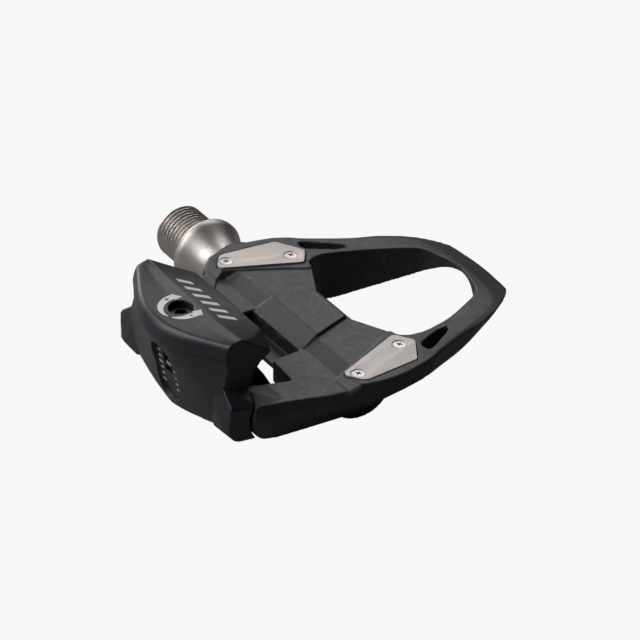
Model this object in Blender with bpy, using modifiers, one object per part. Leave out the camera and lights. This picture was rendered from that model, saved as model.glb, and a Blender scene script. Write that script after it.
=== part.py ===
"""Right-hand road clipless pedal, built as separate physical pieces.

World frame: metres, origin on the spindle axis in the plane of the crank shoulder, +Y
towards the crank, +X towards the pedal's nose, +Z up. All dimensions below are in
millimetres in the pedal's own layout: x forward of the spindle axis, y from the pedal's
symmetry plane towards the crank, z up from the top of the contact plates.
"""
import bpy
import bmesh
import math
from contextlib import contextmanager
from mathutils import Vector, Matrix

MM = 0.001
ALONG_Y = (0, 1, 0)
UP = (0, 0, 1)
SIDES = ((1, "inboard"), (-1, "outboard"))   # sign of y, name used for pieces

# ---------------------------------------------------------------- driving dimensions
CRANK_TO_CENTRE = 53.0           # crank shoulder to the symmetry plane
STACK = 10.5                     # spindle axis below the contact plates
AXIS_Z = -STACK

NECK_R = 6.2                     # spindle, thick middle length
JOURNAL_R = 4.35                 # spindle, bearing length
TAIL_R = 3.0                     # spindle, outboard end
TAIL_END_Y = -16.6

SLEEVE_OUTER_R = 8.0
SLEEVE_INNER_R = 6.98
BORE_R = SLEEVE_OUTER_R + 0.1    # axle bore of the body

PIVOT_X, PIVOT_Z = -27.0, -6.3   # claw pivot
PIN_R = 1.9
TAB_R = 4.2                      # claw tab about the pivot
SEAM_R = 7.45                    # round ends of the body's arms about the pivot
SEAM_GAP = 0.45

PLATE_T = 1.0
BOLT_X = -37.25                  # tension bolt axis
BOLT_R = 2.0


# ---------------------------------------------------------------- scene
for old_object in list(bpy.data.objects):
    bpy.data.objects.remove(old_object, do_unlink=True)
for old_mesh in list(bpy.data.meshes):
    bpy.data.meshes.remove(old_mesh)

SCENE = bpy.context.scene.collection
PEDAL = bpy.data.collections.new("clipless_pedal")
CUTTERS = bpy.data.collections.new("cutters")
SCENE.children.link(PEDAL)
SCENE.children.link(CUTTERS)
CUTTERS.hide_render = True


# ---------------------------------------------------------------- mesh helpers
def world(x, y, z):
    """Pedal layout in millimetres to world metres."""
    return Vector((x * MM, (y - CRANK_TO_CENTRE) * MM, (z + STACK) * MM))


def placement(centre, axis):
    """Matrix that puts a local +Z solid at a layout point, along an axis."""
    turn = Vector(axis).to_track_quat("Z", "Y").to_matrix().to_4x4()
    return Matrix.Translation(world(*centre)) @ turn


def new_object(name, mesh, cutter=False):
    obj = bpy.data.objects.new(name, mesh)
    (CUTTERS if cutter else PEDAL).objects.link(obj)
    if cutter:
        obj.hide_render = True
        obj.display_type = "WIRE"
    return obj


@contextmanager
def editing(mesh, weld):
    """Edit a mesh as a bmesh: weld close points first, make normals agree last."""
    shell = bmesh.new()
    shell.from_mesh(mesh)
    bmesh.ops.remove_doubles(shell, verts=shell.verts, dist=weld)
    yield shell
    bmesh.ops.recalc_face_normals(shell, faces=shell.faces)
    shell.to_mesh(mesh)
    shell.free()


def merge_flat(shell, degrees):
    """Dissolve edges between faces that are flat to within an angle."""
    bmesh.ops.dissolve_limit(shell, angle_limit=math.radians(degrees),
                             verts=shell.verts, edges=shell.edges)


def evaluated_mesh(obj):
    bpy.context.view_layer.update()
    depsgraph = bpy.context.evaluated_depsgraph_get()
    return bpy.data.meshes.new_from_object(obj.evaluated_get(depsgraph))


def bake(obj):
    """Apply the modifiers so the object is one plain mesh, keeping its placement."""
    mesh = evaluated_mesh(obj)
    old = obj.data
    obj.modifiers.clear()
    obj.data = mesh
    mesh.name = obj.name
    if old.users == 0:
        bpy.data.meshes.remove(old)
    with editing(mesh, weld=2e-6) as shell:
        bmesh.ops.dissolve_degenerate(shell, edges=shell.edges, dist=2e-6)
        merge_flat(shell, 0.3)


def hull(name, points, cutter=True):
    """Convex block through layout points."""
    shell = bmesh.new()
    for point in points:
        shell.verts.new(world(*point))
    result = bmesh.ops.convex_hull(shell, input=shell.verts)
    loose = list({item for item in result["geom_interior"] + result["geom_unused"]
                  if isinstance(item, bmesh.types.BMVert)})
    if loose:
        bmesh.ops.delete(shell, geom=loose, context="VERTS")
    bmesh.ops.recalc_face_normals(shell, faces=shell.faces)
    mesh = bpy.data.meshes.new(name)
    shell.to_mesh(mesh)
    shell.free()
    return new_object(name, mesh, cutter)


def both_sides(points):
    return [(x, side * y, z) for x, y, z in points for side in (1, -1)]


def on_side(points, side):
    return [(x, side * y, z) for x, y, z in points]


def box(name, x_range, y_range, z_range):
    return hull(name, [(x, y, z) for x in x_range for y in y_range for z in z_range])


def side_prism(name, outline, y_range, cutter=True):
    """Convex (x, z) outline carried between two y values."""
    return hull(name, [(x, y, z) for y in y_range for x, z in outline], cutter)


def loft(name, sections):
    """Closed skin through equal-length cross-sections, ends capped."""
    count = len(sections[0])
    verts = [tuple(world(*point)) for section in sections for point in section]
    faces = []
    for i in range(len(sections) - 1):
        near, far = i * count, (i + 1) * count
        for j in range(count):
            k = (j + 1) % count
            faces.append((near + j, near + k, far + k, far + j))
    last = (len(sections) - 1) * count
    faces.append(tuple(range(count)))
    faces.append(tuple(last + j for j in range(count)))
    mesh = bpy.data.meshes.new(name)
    mesh.from_pydata(verts, [], faces)
    with editing(mesh, weld=1e-7) as shell:
        bmesh.ops.triangulate(shell, faces=shell.faces)
    return new_object(name, mesh)


def curve_mesh(curve, points, cyclic):
    """Mesh of a straight-segment curve through points in metres."""
    spline = curve.splines.new("POLY")
    spline.points.add(len(points) - 1)
    for spline_point, point in zip(spline.points, points):
        spline_point.co = (*point, 1.0)
    spline.use_cyclic_u = cyclic
    carrier = bpy.data.objects.new(curve.name + "_curve", curve)
    SCENE.objects.link(carrier)
    mesh = evaluated_mesh(carrier)
    bpy.data.objects.remove(carrier, do_unlink=True)
    return mesh


def outline_block(name, outline, bottom, top, cutter=True):
    """Flat (x, y) outline filled and extruded between two heights."""
    curve = bpy.data.curves.new(name, "CURVE")
    curve.dimensions = "2D"
    curve.fill_mode = "BOTH"
    curve.extrude = (top - bottom) / 2 * MM
    points = [(x * MM, (y - CRANK_TO_CENTRE) * MM, 0.0) for x, y in outline]
    mesh = curve_mesh(curve, points, cyclic=True)
    mesh.name = name
    with editing(mesh, weld=1e-7) as shell:
        lift = ((bottom + top) / 2 + STACK) * MM
        bmesh.ops.translate(shell, verts=shell.verts, vec=(0, 0, lift))
        merge_flat(shell, 0.5)
    return new_object(name, mesh, cutter)


def cylinder(name, radius, centre, length, axis=ALONG_Y, steps=32, cutter=True,
             end_radius=None):
    """Capped cylinder, or a cone when end_radius is given for the +axis end."""
    shell = bmesh.new()
    bmesh.ops.create_cone(shell, cap_ends=True, segments=steps, radius1=radius * MM,
                          radius2=(radius if end_radius is None else end_radius) * MM,
                          depth=length * MM)
    mesh = bpy.data.meshes.new(name)
    shell.to_mesh(mesh)
    shell.free()
    obj = new_object(name, mesh, cutter)
    obj.matrix_world = placement(centre, axis)
    return obj


def turned(name, profile, centre, axis=ALONG_Y, steps=32, cutter=False):
    """Solid of revolution; profile is (radius, height) pairs, top to bottom outside.

    A profile that starts and ends on the axis makes a solid; any other is closed up
    and makes a ring.
    """
    solid = profile[0][0] < 1e-6 and profile[-1][0] < 1e-6
    count = len(profile)
    edges = [(i, i + 1) for i in range(count - 1)]
    if not solid:
        edges.append((count - 1, 0))
    mesh = bpy.data.meshes.new(name)
    mesh.from_pydata([(radius * MM, 0.0, height * MM) for radius, height in profile],
                     edges, [])
    obj = new_object(name, mesh, cutter)
    screw = obj.modifiers.new("turn", "SCREW")
    screw.axis = "Z"
    screw.steps = steps
    screw.render_steps = steps
    screw.use_merge_vertices = True
    screw.merge_threshold = 0.00001
    screw.use_normal_calculate = True
    obj.matrix_world = placement(centre, axis)
    if cutter:
        bake(obj)
    return obj


def ring_profile(outer, inner, top, bottom):
    return [(outer, top), (outer, bottom), (inner, bottom), (inner, top)]


def hex_corner_radius(across_flats):
    return across_flats / 2 / math.cos(math.pi / 6)


def boolean(obj, tool, operation):
    modifier = obj.modifiers.new(operation.lower(), "BOOLEAN")
    modifier.operation = operation
    modifier.solver = "EXACT"
    modifier.object = tool


def cut(obj, tool):
    boolean(obj, tool, "DIFFERENCE")


def add(obj, tool):
    boolean(obj, tool, "UNION")


def smooth(obj, sharp_angle):
    obj.data.shade_smooth()
    obj.data.set_sharp_from_angle(angle=math.radians(sharp_angle))


def material(name, colour, roughness, metallic):
    result = bpy.data.materials.new(name)
    result.use_nodes = True
    shader = result.node_tree.nodes["Principled BSDF"]
    shader.inputs["Base Color"].default_value = (*colour, 1.0)
    shader.inputs["Roughness"].default_value = roughness
    shader.inputs["Metallic"].default_value = metallic
    result.diffuse_color = (*colour, 1.0)
    return result


def coat(obj, colour, roughness, metallic):
    """Give the object its own material, named after it."""
    obj.data.materials.clear()
    obj.data.materials.append(material(obj.name, colour, roughness, metallic))


def finish(obj, colour, roughness, metallic, sharp_angle=32.0):
    """Bake, smooth up to an edge angle in degrees, and coat."""
    bake(obj)
    smooth(obj, sharp_angle)
    coat(obj, colour, roughness, metallic)


# ---------------------------------------------------------------- contact plate layout
# Corners (x, |y|) and the radius that rounds each.
PLATE = [(-10.4, 29.1), (9.7, 20.3), (12.9, 25.3), (8.6, 32.8), (-6.9, 34.4)]
PLATE_ROUND = [1.5, 1.2, 1.2, 1.2, 2.6]
CORNER_STEPS = 4
# Screw places: name, x, |y|.
SCREWS = (("rear", -6.8, 30.85), ("front", 8.6, 25.0))


def rounded(outline, radii, grow):
    """Outline with each corner replaced by an arc, moved out by grow."""
    points = []
    for i, radius in enumerate(radii):
        corner = Vector(outline[i])
        to_last = (Vector(outline[i - 1]) - corner).normalized()
        to_next = (Vector(outline[(i + 1) % len(outline)]) - corner).normalized()
        half = math.acos(max(-1, min(1, to_last.dot(to_next)))) / 2
        centre = corner + (to_last + to_next).normalized() * (radius / math.sin(half))
        tangent_length = radius / math.tan(half)
        start = (corner + to_last * tangent_length) - centre
        end = (corner + to_next * tangent_length) - centre
        start_angle = math.atan2(start.y, start.x)
        end_angle = math.atan2(end.y, end.x)
        # the shorter way round
        sweep = (end_angle - start_angle + math.pi) % (2 * math.pi) - math.pi
        for k in range(CORNER_STEPS + 1):
            angle = start_angle + sweep * k / CORNER_STEPS
            points.append((centre.x + (radius + grow) * math.cos(angle),
                           centre.y + (radius + grow) * math.sin(angle)))
    return points


def plate_outline(side, grow=0.0):
    return rounded([(x, side * y) for x, y in PLATE], PLATE_ROUND, grow)


# ---------------------------------------------------------------- pedal body: the loop bar
# Half stations from the nose back to the rear arm. Each row holds, as (x, |y|, z):
# inner top edge, top crease, widest outer edge, foot of the outer wall,
# lower skirt, inner foot, inner crease.
BAR = [
    [(42.3, 0, -1.3), (43.6, 0, -1.5), (49.2, 0, -3.3), (48.6, 0, -4.4),
     (45.4, 0, -4.5), (43.5, 0, -3.5), (42.6, 0, -1.9)],
    [(42.1, 3.2, -1.3), (43.4, 6.9, -1.6), (49.0, 7.6, -3.4), (48.3, 7.2, -4.4),
     (45.2, 5.5, -4.7), (43.1, 3.3, -3.9), (42.3, 3.2, -2.0)],
    [(41.5, 6.5, -1.3), (42.8, 12.0, -1.7), (48.2, 12.8, -3.3), (47.3, 12.0, -4.4),
     (44.3, 9.3, -5.2), (42.0, 6.7, -5.0), (41.5, 6.4, -2.2)],
    [(39.9, 11.4, -1.3), (41.4, 16.6, -1.7), (44.9, 16.9, -2.7), (44.0, 15.9, -4.2),
     (41.7, 13.1, -6.2), (39.8, 11.2, -7.6), (39.9, 11.1, -3.1)],
    [(37.5, 13.7, -1.3), (38.4, 19.9, -1.6), (40.8, 20.3, -2.2), (40.0, 19.8, -3.9),
     (38.8, 16.4, -8.0), (37.4, 13.5, -9.1), (37.5, 13.3, -3.6)],
    [(34.0, 15.7, -1.3), (33.4, 22.6, -1.4), (34.6, 24.0, -1.9), (34.0, 23.1, -4.5),
     (34.0, 19.7, -8.9), (34.0, 15.6, -10.5), (34.0, 15.1, -4.1)],
    [(27.0, 19.1, -1.3), (26.6, 25.8, -1.2), (27.0, 26.9, -1.7), (26.9, 26.1, -5.7),
     (27.0, 23.0, -9.5), (27.0, 19.1, -12.8), (27.0, 18.4, -6.8)],
    [(20.5, 21.2, -1.0), (19.6, 29.3, -0.8), (19.9, 30.2, -1.3), (19.7, 28.9, -6.1),
     (20.3, 25.6, -9.6), (20.5, 21.3, -14.2), (20.5, 20.4, -8.3)],
    [(16.8, 22.0, -0.7), (15.3, 31.6, -0.5), (15.6, 32.4, -1.1), (15.4, 31.0, -5.8),
     (16.2, 27.3, -9.4), (16.8, 22.0, -14.3), (16.8, 21.2, -8.7)],
    [(13.6, 21.8, -0.5), (13.0, 33.1, -0.3), (13.3, 33.9, -1.0), (13.1, 32.4, -5.4),
     (13.4, 28.5, -8.6), (13.6, 21.8, -13.9), (13.6, 21.0, -8.6)],
    [(11.2, 20.2, -0.45), (10.4, 34.2, -0.12), (10.6, 35.0, -0.8), (10.5, 33.6, -5.4),
     (10.8, 29.2, -8.6), (11.2, 20.4, -13.6), (11.2, 19.6, -7.9)],
    [(9.9, 17.8, -0.45), (8.6, 34.9, -0.05), (8.7, 35.7, -0.75), (8.7, 34.2, -5.4),
     (9.2, 29.6, -8.9), (9.9, 18.6, -13.4), (9.9, 17.9, -7.5)],
    [(4.0, 21.0, -0.45), (2.0, 36.3, 0.0), (2.0, 37.1, -0.75), (2.0, 35.5, -5.5),
     (3.0, 30.4, -9.6), (4.0, 20.0, -13.0), (4.0, 20.6, -7.5)],
    [(-3.0, 24.8, -0.45), (-4.0, 36.3, 0.0), (-4.0, 37.0, -0.75), (-4.0, 35.6, -5.9),
     (-3.8, 31.0, -10.4), (-3.0, 22.0, -12.8), (-3.0, 24.0, -7.5)],
    [(-9.65, 28.0, -0.45), (-9.0, 35.1, -0.1), (-9.0, 35.8, -0.85), (-9.0, 34.6, -6.4),
     (-9.0, 30.6, -11.2), (-9.6, 22.0, -13.0), (-9.6, 25.0, -7.5)],
    [(-11.6, 27.6, -2.1), (-11.4, 33.6, -2.0), (-11.6, 34.5, -3.2), (-11.6, 33.7, -6.7),
     (-11.6, 30.0, -11.6), (-11.6, 21.8, -13.2), (-11.6, 24.6, -7.5)],
    [(-15.5, 22.4, -2.4), (-16.2, 32.4, -2.4), (-16.5, 33.4, -4.4), (-16.4, 32.9, -7.4),
     (-16.0, 29.3, -12.0), (-15.5, 21.6, -13.6), (-15.5, 22.0, -7.5)],
    [(-21.0, 21.6, -2.4), (-21.4, 30.6, -2.4), (-21.6, 31.8, -4.8), (-21.5, 31.3, -7.8),
     (-21.2, 28.3, -12.6), (-21.0, 21.2, -13.8), (-21.0, 21.4, -7.5)],
    [(-27.0, 19.6, -2.4), (-27.4, 28.9, -2.4), (-27.6, 30.3, -5.0), (-27.5, 29.8, -8.0),
     (-27.2, 27.2, -13.2), (-27.0, 19.6, -13.8), (-27.0, 19.6, -7.5)],
    [(-37.0, 17.2, -2.4), (-37.0, 27.4, -2.4), (-37.0, 28.6, -5.0), (-37.0, 28.1, -8.0),
     (-37.0, 26.0, -12.0), (-37.0, 17.4, -12.6), (-37.0, 17.3, -7.5)],
]
# Sections made between each station and the next.
BAR_STEPS = [4, 3, 3, 3, 3, 3, 3, 2, 2, 2, 2, 2, 2, 2, 1, 1, 1, 1, 1]
CURVED_SPANS = 13    # spans from the nose that are splined; the rest are straight


def catmull(before, start, end, after, t):
    """Catmull-Rom point between start and end."""
    return tuple(0.5 * ((2 * b) + (c - a) * t + (2 * a - 5 * b + 4 * c - d) * t * t
                        + (-a + 3 * b - 3 * c + d) * t ** 3)
                 for a, b, c, d in zip(before, start, end, after))


def bar_section(span, t):
    start, end = BAR[span], BAR[span + 1]
    if span >= CURVED_SPANS:
        return [tuple(a + (b - a) * t for a, b in zip(*pair)) for pair in zip(start, end)]
    # at the nose the spline continues into the mirrored half
    before = on_side(BAR[1], -1) if span == 0 else BAR[span - 1]
    return [catmull(*four, t) for four in zip(before, start, end, BAR[span + 2])]


def bar_sections():
    """Whole bar, from the outboard arm's end round the nose to the inboard arm's end."""
    half = [bar_section(span, step / steps)
            for span, steps in enumerate(BAR_STEPS) for step in range(steps)]
    half.append(BAR[-1])
    return [on_side(row, -1) for row in reversed(half[1:])] + half


# ---------------------------------------------------------------- pedal body: blocks
SHELF_Z = -2.6
FLOOR_Z = -0.85

# Convex blocks as (x, |y|, z) corners, one on each side.
FLOOR = [
    (5.0, 6.4, FLOOR_Z), (10.8, 18.6, FLOOR_Z), (10.8, 24.0, FLOOR_Z), (-6.0, 30.0, FLOOR_Z),
    (4.8, 6.4, -6.0), (10.4, 18.6, -8.0), (10.6, 24.0, -8.0), (-6.0, 28.0, -8.0),
    (-6.0, 6.4, FLOOR_Z), (-9.6, 6.4, SHELF_Z), (-9.6, 28.0, SHELF_Z),
    (-9.6, 28.0, -8.0), (-9.6, 6.4, -8.0)]
ARM_RISE = [
    (-25.6, 20.6, -2.45), (-25.0, 28.4, -2.5), (-35.0, 28.3, -2.4), (-35.0, 20.6, -0.2),
    (-30.0, 20.2, -1.3), (-25.6, 20.6, -5.0), (-25.0, 28.0, -5.0), (-35.0, 28.0, -5.0),
    (-35.0, 20.2, -5.0)]
SHELF = [
    (-9.0, 10.9, SHELF_Z), (-18.8, 11.3, SHELF_Z - 0.25), (-19.8, 24.5, SHELF_Z - 0.1),
    (-14.0, 28.6, SHELF_Z), (-9.0, 30.0, SHELF_Z),
    (-9.0, 10.9, -8.6), (-18.8, 11.3, -8.8), (-19.8, 24.5, -9.5), (-9.0, 24.0, -10.0)]
GUSSET = [
    (8.8, 16.0, -3.0), (8.8, 16.0, -11.0), (-8.8, 16.0, -3.0), (-8.8, 16.0, -11.0),
    (8.8, 27.0, -3.0), (8.6, 27.0, -11.8), (-8.8, 27.0, -3.0), (-8.8, 27.0, -12.0)]
# Slot in the top of each of the loop's arms.
ARM_SLOT = [
    (13.3, 27.4, 1.0), (13.3, 29.6, 1.0), (14.3, 30.2, 1.0), (16.0, 29.4, 1.0),
    (23.6, 24.1, 1.0), (24.3, 23.0, 1.0), (23.6, 22.3, 1.0), (20.6, 22.9, 1.0),
    (16.6, 24.9, 1.0), (14.0, 26.3, 1.0),
    (13.7, 27.4, -4.6), (13.7, 29.2, -4.6), (16.0, 28.8, -4.6), (23.2, 24.0, -4.6),
    (23.6, 22.9, -4.6), (20.6, 23.4, -4.6), (16.6, 25.3, -4.6)]

# Convex blocks across the symmetry plane, as (x, |y|, z) corners.
CENTRE_BLOCK = [
    (4.8, 6.9, 0.0), (-5.6, 10.7, 0.0), (-10.9, 11.15, -3.0), (-10.9, 11.15, -8.0),
    (5.2, 6.9, -9.0), (4.6, 7.2, -9.0)]
VALLEY_FLOOR = [
    (-10.0, 11.2, -6.9), (-14.6, 11.2, -6.9), (-16.4, 11.2, -7.0), (-16.4, 11.2, -8.2),
    (-12.0, 11.2, -9.8), (-9.0, 11.2, -9.8)]
WEB = [(8.6, 17.0, -4.0), (8.6, 17.0, -9.6), (-8.8, 17.0, -4.0), (-8.8, 17.0, -9.6)]

# Plan outline (x, y) cut from the outer side of the inboard arm, between two heights.
CRANK_RELIEF = ((-10.9, 36.0), (-12.4, 31.2), (-20.0, 29.4), (-27.5, 28.6),
                (-34.0, 30.4), (-34.0, 40.0), (-10.9, 40.0))
CRANK_RELIEF_Z = (-17.0, 4.0)

BOSS_R = 9.5                                # axle housing
BOSS_END_Y, BOSS_CRANK_Y = -21.4, 37.0
BORE_END_Y, BORE_CRANK_Y = -18.8, 40.0      # blind outboard, open towards the crank
POCKET_GAP = 0.14                           # round the contact plate
POCKET_SINK = 0.08                          # below the contact plate
SCREW_HOLE_R = 0.93


def add_platform(body):
    """Centre platform and its floors."""
    for side, _ in SIDES:
        add(body, hull("floor_%d" % side, on_side(FLOOR, side)))
        add(body, hull("arm_rise_%d" % side, on_side(ARM_RISE, side)))
    for side, _ in SIDES:
        add(body, hull("shelf_%d" % side, on_side(SHELF, side)))
    add(body, hull("centre_block", both_sides(CENTRE_BLOCK)))
    add(body, hull("valley_floor", both_sides(VALLEY_FLOOR)))


def add_axle_housing(body):
    """Round housing with a tapered end, tied up to the platform."""
    add(body, cylinder("boss", BOSS_R, (0, (BOSS_END_Y + BOSS_CRANK_Y) / 2, AXIS_Z),
                       BOSS_CRANK_Y - BOSS_END_Y, steps=40))
    add(body, cylinder("boss_cap", BOSS_R - 2.2, (0, BOSS_END_Y - 0.7, AXIS_Z), 1.6,
                       steps=40, end_radius=BOSS_R - 0.4))
    add(body, hull("web", both_sides(WEB)))
    for side, _ in SIDES:
        add(body, hull("gusset_%d" % side, on_side(GUSSET, side)))


def shape_arm_ends(body):
    """Round each arm's rear end about the claw pivot; cut the tab slot and pin hole."""
    for side, _ in SIDES:
        waste = box("arm_end_%d" % side, (-46.0, PIVOT_X), (side * 15.0, side * 33.0),
                    (-16.0, 2.0))
        cut(waste, cylinder("arm_round_%d" % side, SEAM_R, (PIVOT_X, side * 24.0, PIVOT_Z),
                            20.0, axis=(0, side, 0), steps=48))
        cut(body, waste)
        cut(body, cylinder("tab_slot_%d" % side, TAB_R + 0.8,
                           (PIVOT_X, side * 14.8, PIVOT_Z), 8.4))
        cut(body, cylinder("pin_hole_%d" % side, PIN_R + 0.03,
                           (PIVOT_X, side * 20.0, PIVOT_Z), 9.2, steps=24))


def cut_plate_seats(body):
    """Pocket and screw holes for each contact plate."""
    for side, tag in SIDES:
        cut(body, outline_block("plate_pocket_" + tag, plate_outline(side, POCKET_GAP),
                                -PLATE_T - POCKET_SINK, 3.0))
        for where, x, y in SCREWS:
            cut(body, cylinder("screw_hole_%s_%s" % (tag, where), SCREW_HOLE_R,
                               (x, side * y, -2.2), 4.6, axis=UP, steps=16))


def build_body():
    body = loft("pedal_body", bar_sections())
    add_platform(body)
    add_axle_housing(body)
    cut(body, hull("crank_relief", [(x, y, z) for z in CRANK_RELIEF_Z
                                    for x, y in CRANK_RELIEF]))
    shape_arm_ends(body)
    cut(body, cylinder("axle_bore", BORE_R, (0, (BORE_END_Y + BORE_CRANK_Y) / 2, AXIS_Z),
                       BORE_CRANK_Y - BORE_END_Y, steps=48))
    for side, _ in SIDES:
        cut(body, hull("arm_slot_%d" % side, on_side(ARM_SLOT, side)))
    cut_plate_seats(body)
    finish(body, colour=(0.035, 0.036, 0.040), roughness=0.55, metallic=0.0, sharp_angle=28)


# ---------------------------------------------------------------- contact plates
HEAD_R = 1.75
SINK_R = HEAD_R + 0.12
# (radius, z) of the screw and of the countersink it sits in
SCREW_PROFILE = [(0, -0.06), (HEAD_R, -0.06), (HEAD_R, -0.16), (0.88, -0.80),
                 (0.88, -3.9), (0, -4.2)]
SINK_PROFILE = [(0, 1.0), (SINK_R, 1.0), (SINK_R, -0.12), (1.1, -0.72),
                (1.1, -2.0), (0, -2.0)]
# Arms of the cross recess: directions in degrees, then (half length, half width, z)
# at the top and bottom of the tapered cutter.
DRIVER_ANGLES = (35, 125)
DRIVER_ENDS = ((1.0, 0.17, 0.4), (0.35, 0.14, -0.75))


def driver_arm(name, x, y, degrees):
    cosine, sine = math.cos(math.radians(degrees)), math.sin(math.radians(degrees))
    points = []
    for half_length, half_width, z in DRIVER_ENDS:
        for along in (-half_length, half_length):
            for across in (-half_width, half_width):
                points.append((x + along * cosine - across * sine,
                               y + along * sine + across * cosine, z))
    return hull(name, points)


def build_plate_screw(tag, where, x, y):
    screw = turned("%s_%s_plate_screw" % (tag, where), SCREW_PROFILE, (x, y, 0),
                   axis=UP, steps=20)
    for degrees in DRIVER_ANGLES:
        cut(screw, driver_arm("driver_%s_%s_%d" % (tag, where, degrees), x, y, degrees))
    finish(screw, colour=(0.62, 0.60, 0.58), roughness=0.25, metallic=1.0)


def build_contact_plate(side, tag):
    plate = outline_block(tag + "_contact_plate", plate_outline(side), -PLATE_T, 0.0,
                          cutter=False)
    for where, x, y in SCREWS:
        cut(plate, turned("sink_%s_%s" % (tag, where), SINK_PROFILE, (x, side * y, 0),
                          axis=UP, steps=20, cutter=True))
        build_plate_screw(tag, where, x, side * y)
    finish(plate, colour=(0.62, 0.55, 0.52), roughness=0.35, metallic=1.0)


# ---------------------------------------------------------------- rear claw
CLAW_HALF = 22.2     # half width of the lofted part
CLAW_SPANS = 22

# Lower flank that meets the arm, as (x, |y|, z) corners.
FLANK = [
    (-38.8, 22.0, 1.5), (-32.0, 22.0, 0.1), (-30.0, 18.4, 0.4), (-39.0, 18.4, 2.5),
    (-32.0, 28.4, -2.4), (-39.0, 26.4, -1.6), (-39.5, 26.6, -2.4), (-39.9, 19.0, -1.0),
    (-40.1, 24.0, -9.2), (-39.8, 26.1, -9.0), (-38.4, 26.3, -11.0), (-33.4, 28.2, -10.6),
    (-37.0, 26.0, -11.8), (-33.0, 20.0, -12.0), (-30.0, 18.4, -5.0), (-33.5, 18.4, -12.0),
    (-39.6, 18.4, -10.2), (-37.0, 20.0, -11.8)]
# Waste above the sloping facet at the lip's outer corner, as (x, |y|, z) corners.
LIP_FACET = [
    (-34.0, 22.2, 13.5), (-24.4, 14.2, 10.45), (-25.9, 22.2, 8.1), (-16.0, 7.2, 7.8),
    (-16.0, 22.2, 4.0), (-34.0, 30.0, 17.0), (-34.0, 22.2, 17.0), (-16.0, 7.2, 17.0),
    (-16.0, 30.0, 17.0), (-16.0, 30.0, 4.0)]
# Upper part of the tab, (x, z), after the arc about the pivot.
TAB_ROOT = [(-24.9, -1.4), (-27.0, 1.7), (-29.6, 4.4), (-33.0, 4.4), (-38.0, -2.0),
            (-37.0, -9.5)]
TAB_ARC = (-120, 40)     # degrees
TAB_ARC_STEPS = 12
TAB_Y = (12.2, 17.7)
# Spring bay, (x, z), open underneath and to the front.
BAY = [(-38.6, -17.5), (-38.6, -9.0), (-39.7, -3.0), (-40.2, 3.6), (-20.0, 3.6),
       (-20.0, -17.5)]
BAY_HALF = 11.9
# Wide socket for the bolt's head over a narrower hole, (radius, z).
WELL_PROFILE = [(0, 18.0), (3.05, 18.0), (3.05, 7.0), (2.35, 7.0), (2.35, 1.0), (0, 1.0)]
BEHIND_CLAW_X = -52.0
RECESS_Z = -4.2          # middle of the recess in the back wall
RECESS_END = 3.4         # middle to the centres of its rounded ends
RECESS_ROUND = 4.9       # height of each rounded end
RECESS_HALF_Y = 4.998


def claw_section(y):
    """Points round the claw's (x, z) profile at one y, starting at the lip."""
    across = abs(y) / CLAW_HALF
    square = across * across
    rear = -46.2 + 0.0222 * y * y - 1.18e-5 * y ** 4         # rear edge in plan
    lip = -24.4 - 1.8 * max(0.0, (abs(y) - 18.2) / 4.0)      # front edge in plan
    low = -15.0 + 5.2 * min(1.0, (abs(y) / 21.0)) ** 1.25    # bottom edge
    profile = [
        # lip tip, then back over the top
        (lip, 10.3 - 0.5 * across),
        (-32.9 - 0.7 * across, 11.9 + 1.5 * square),
        (-37.0 + 1.8 * square, 12.3 + 0.6 * square),
        (rear + 2.6 - 0.7 * across, 11.9 + 0.3 * square),
        # rear rim
        (rear + 0.85, 10.7),
        (rear, 8.3 + 0.5 * across),
        (rear + 0.5, 7.4 + 0.8 * across),
        # hollow back, down to the bottom
        (max(-44.4 + 5.5 * square, rear + 0.5 + 1.0 * (1 - square)), 5.0),
        (-43.2 + 4.2 * square, 0.5),
        (-41.8 + 2.6 * square, -4.5),
        (-40.5 + 1.6 * square, low + 1.5),
        (-39.0 + 0.6 * across, low),
        (-37.3, low + 0.3),
        # up the front to the underside of the lip
        (-33.9, -2.8),
        (-31.0, 0.2),
        (-30.2, 3.4),
        (-28.6, 5.6),
        (lip + 0.4, 7.9 - 0.4 * across),
    ]
    return [(x, y, z) for x, z in profile]


def tab_outline():
    start, end = TAB_ARC
    angles = [math.radians(start + (end - start) * i / TAB_ARC_STEPS)
              for i in range(TAB_ARC_STEPS + 1)]
    return [(PIVOT_X + TAB_R * math.cos(angle), PIVOT_Z + TAB_R * math.sin(angle))
            for angle in angles] + TAB_ROOT


def shape_claw_side(claw, side):
    """Flank, round seam against the arm, pivot tab and lip facet on one side."""
    add(claw, hull("flank_%d" % side, on_side(FLANK, side)))
    seam = cylinder("claw_seam_%d" % side, SEAM_R + SEAM_GAP, (PIVOT_X, side * 24.0, PIVOT_Z),
                    20.0, axis=(0, side, 0), steps=48)
    relief = box("seam_relief_%d" % side, (-36.5, -20.0), (side * 17.8, side * 33.0),
                 (-16.0, 4.0))
    boolean(seam, relief, "INTERSECT")
    cut(claw, seam)
    add(claw, side_prism("tab_%d" % side, tab_outline(), [side * y for y in TAB_Y]))
    cut(claw, hull("lip_facet_%d" % side, on_side(LIP_FACET, side)))


def window_recess():
    """Oval recess in the back wall; its floor leans with the wall."""
    rim = []
    for degrees in range(0, 360, 20):
        cosine, sine = math.cos(math.radians(degrees)), math.sin(math.radians(degrees))
        end_z = RECESS_Z + (RECESS_END if sine >= 0 else -RECESS_END)
        rim.append((RECESS_HALF_Y * cosine, end_z + RECESS_ROUND * sine))
    mouth = [(BEHIND_CLAW_X, y, z) for y, z in rim]
    floor = [(-42.35 + (4.0 - z) * 0.165, y, z) for y, z in rim]
    return hull("window_recess", mouth + floor)


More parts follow.
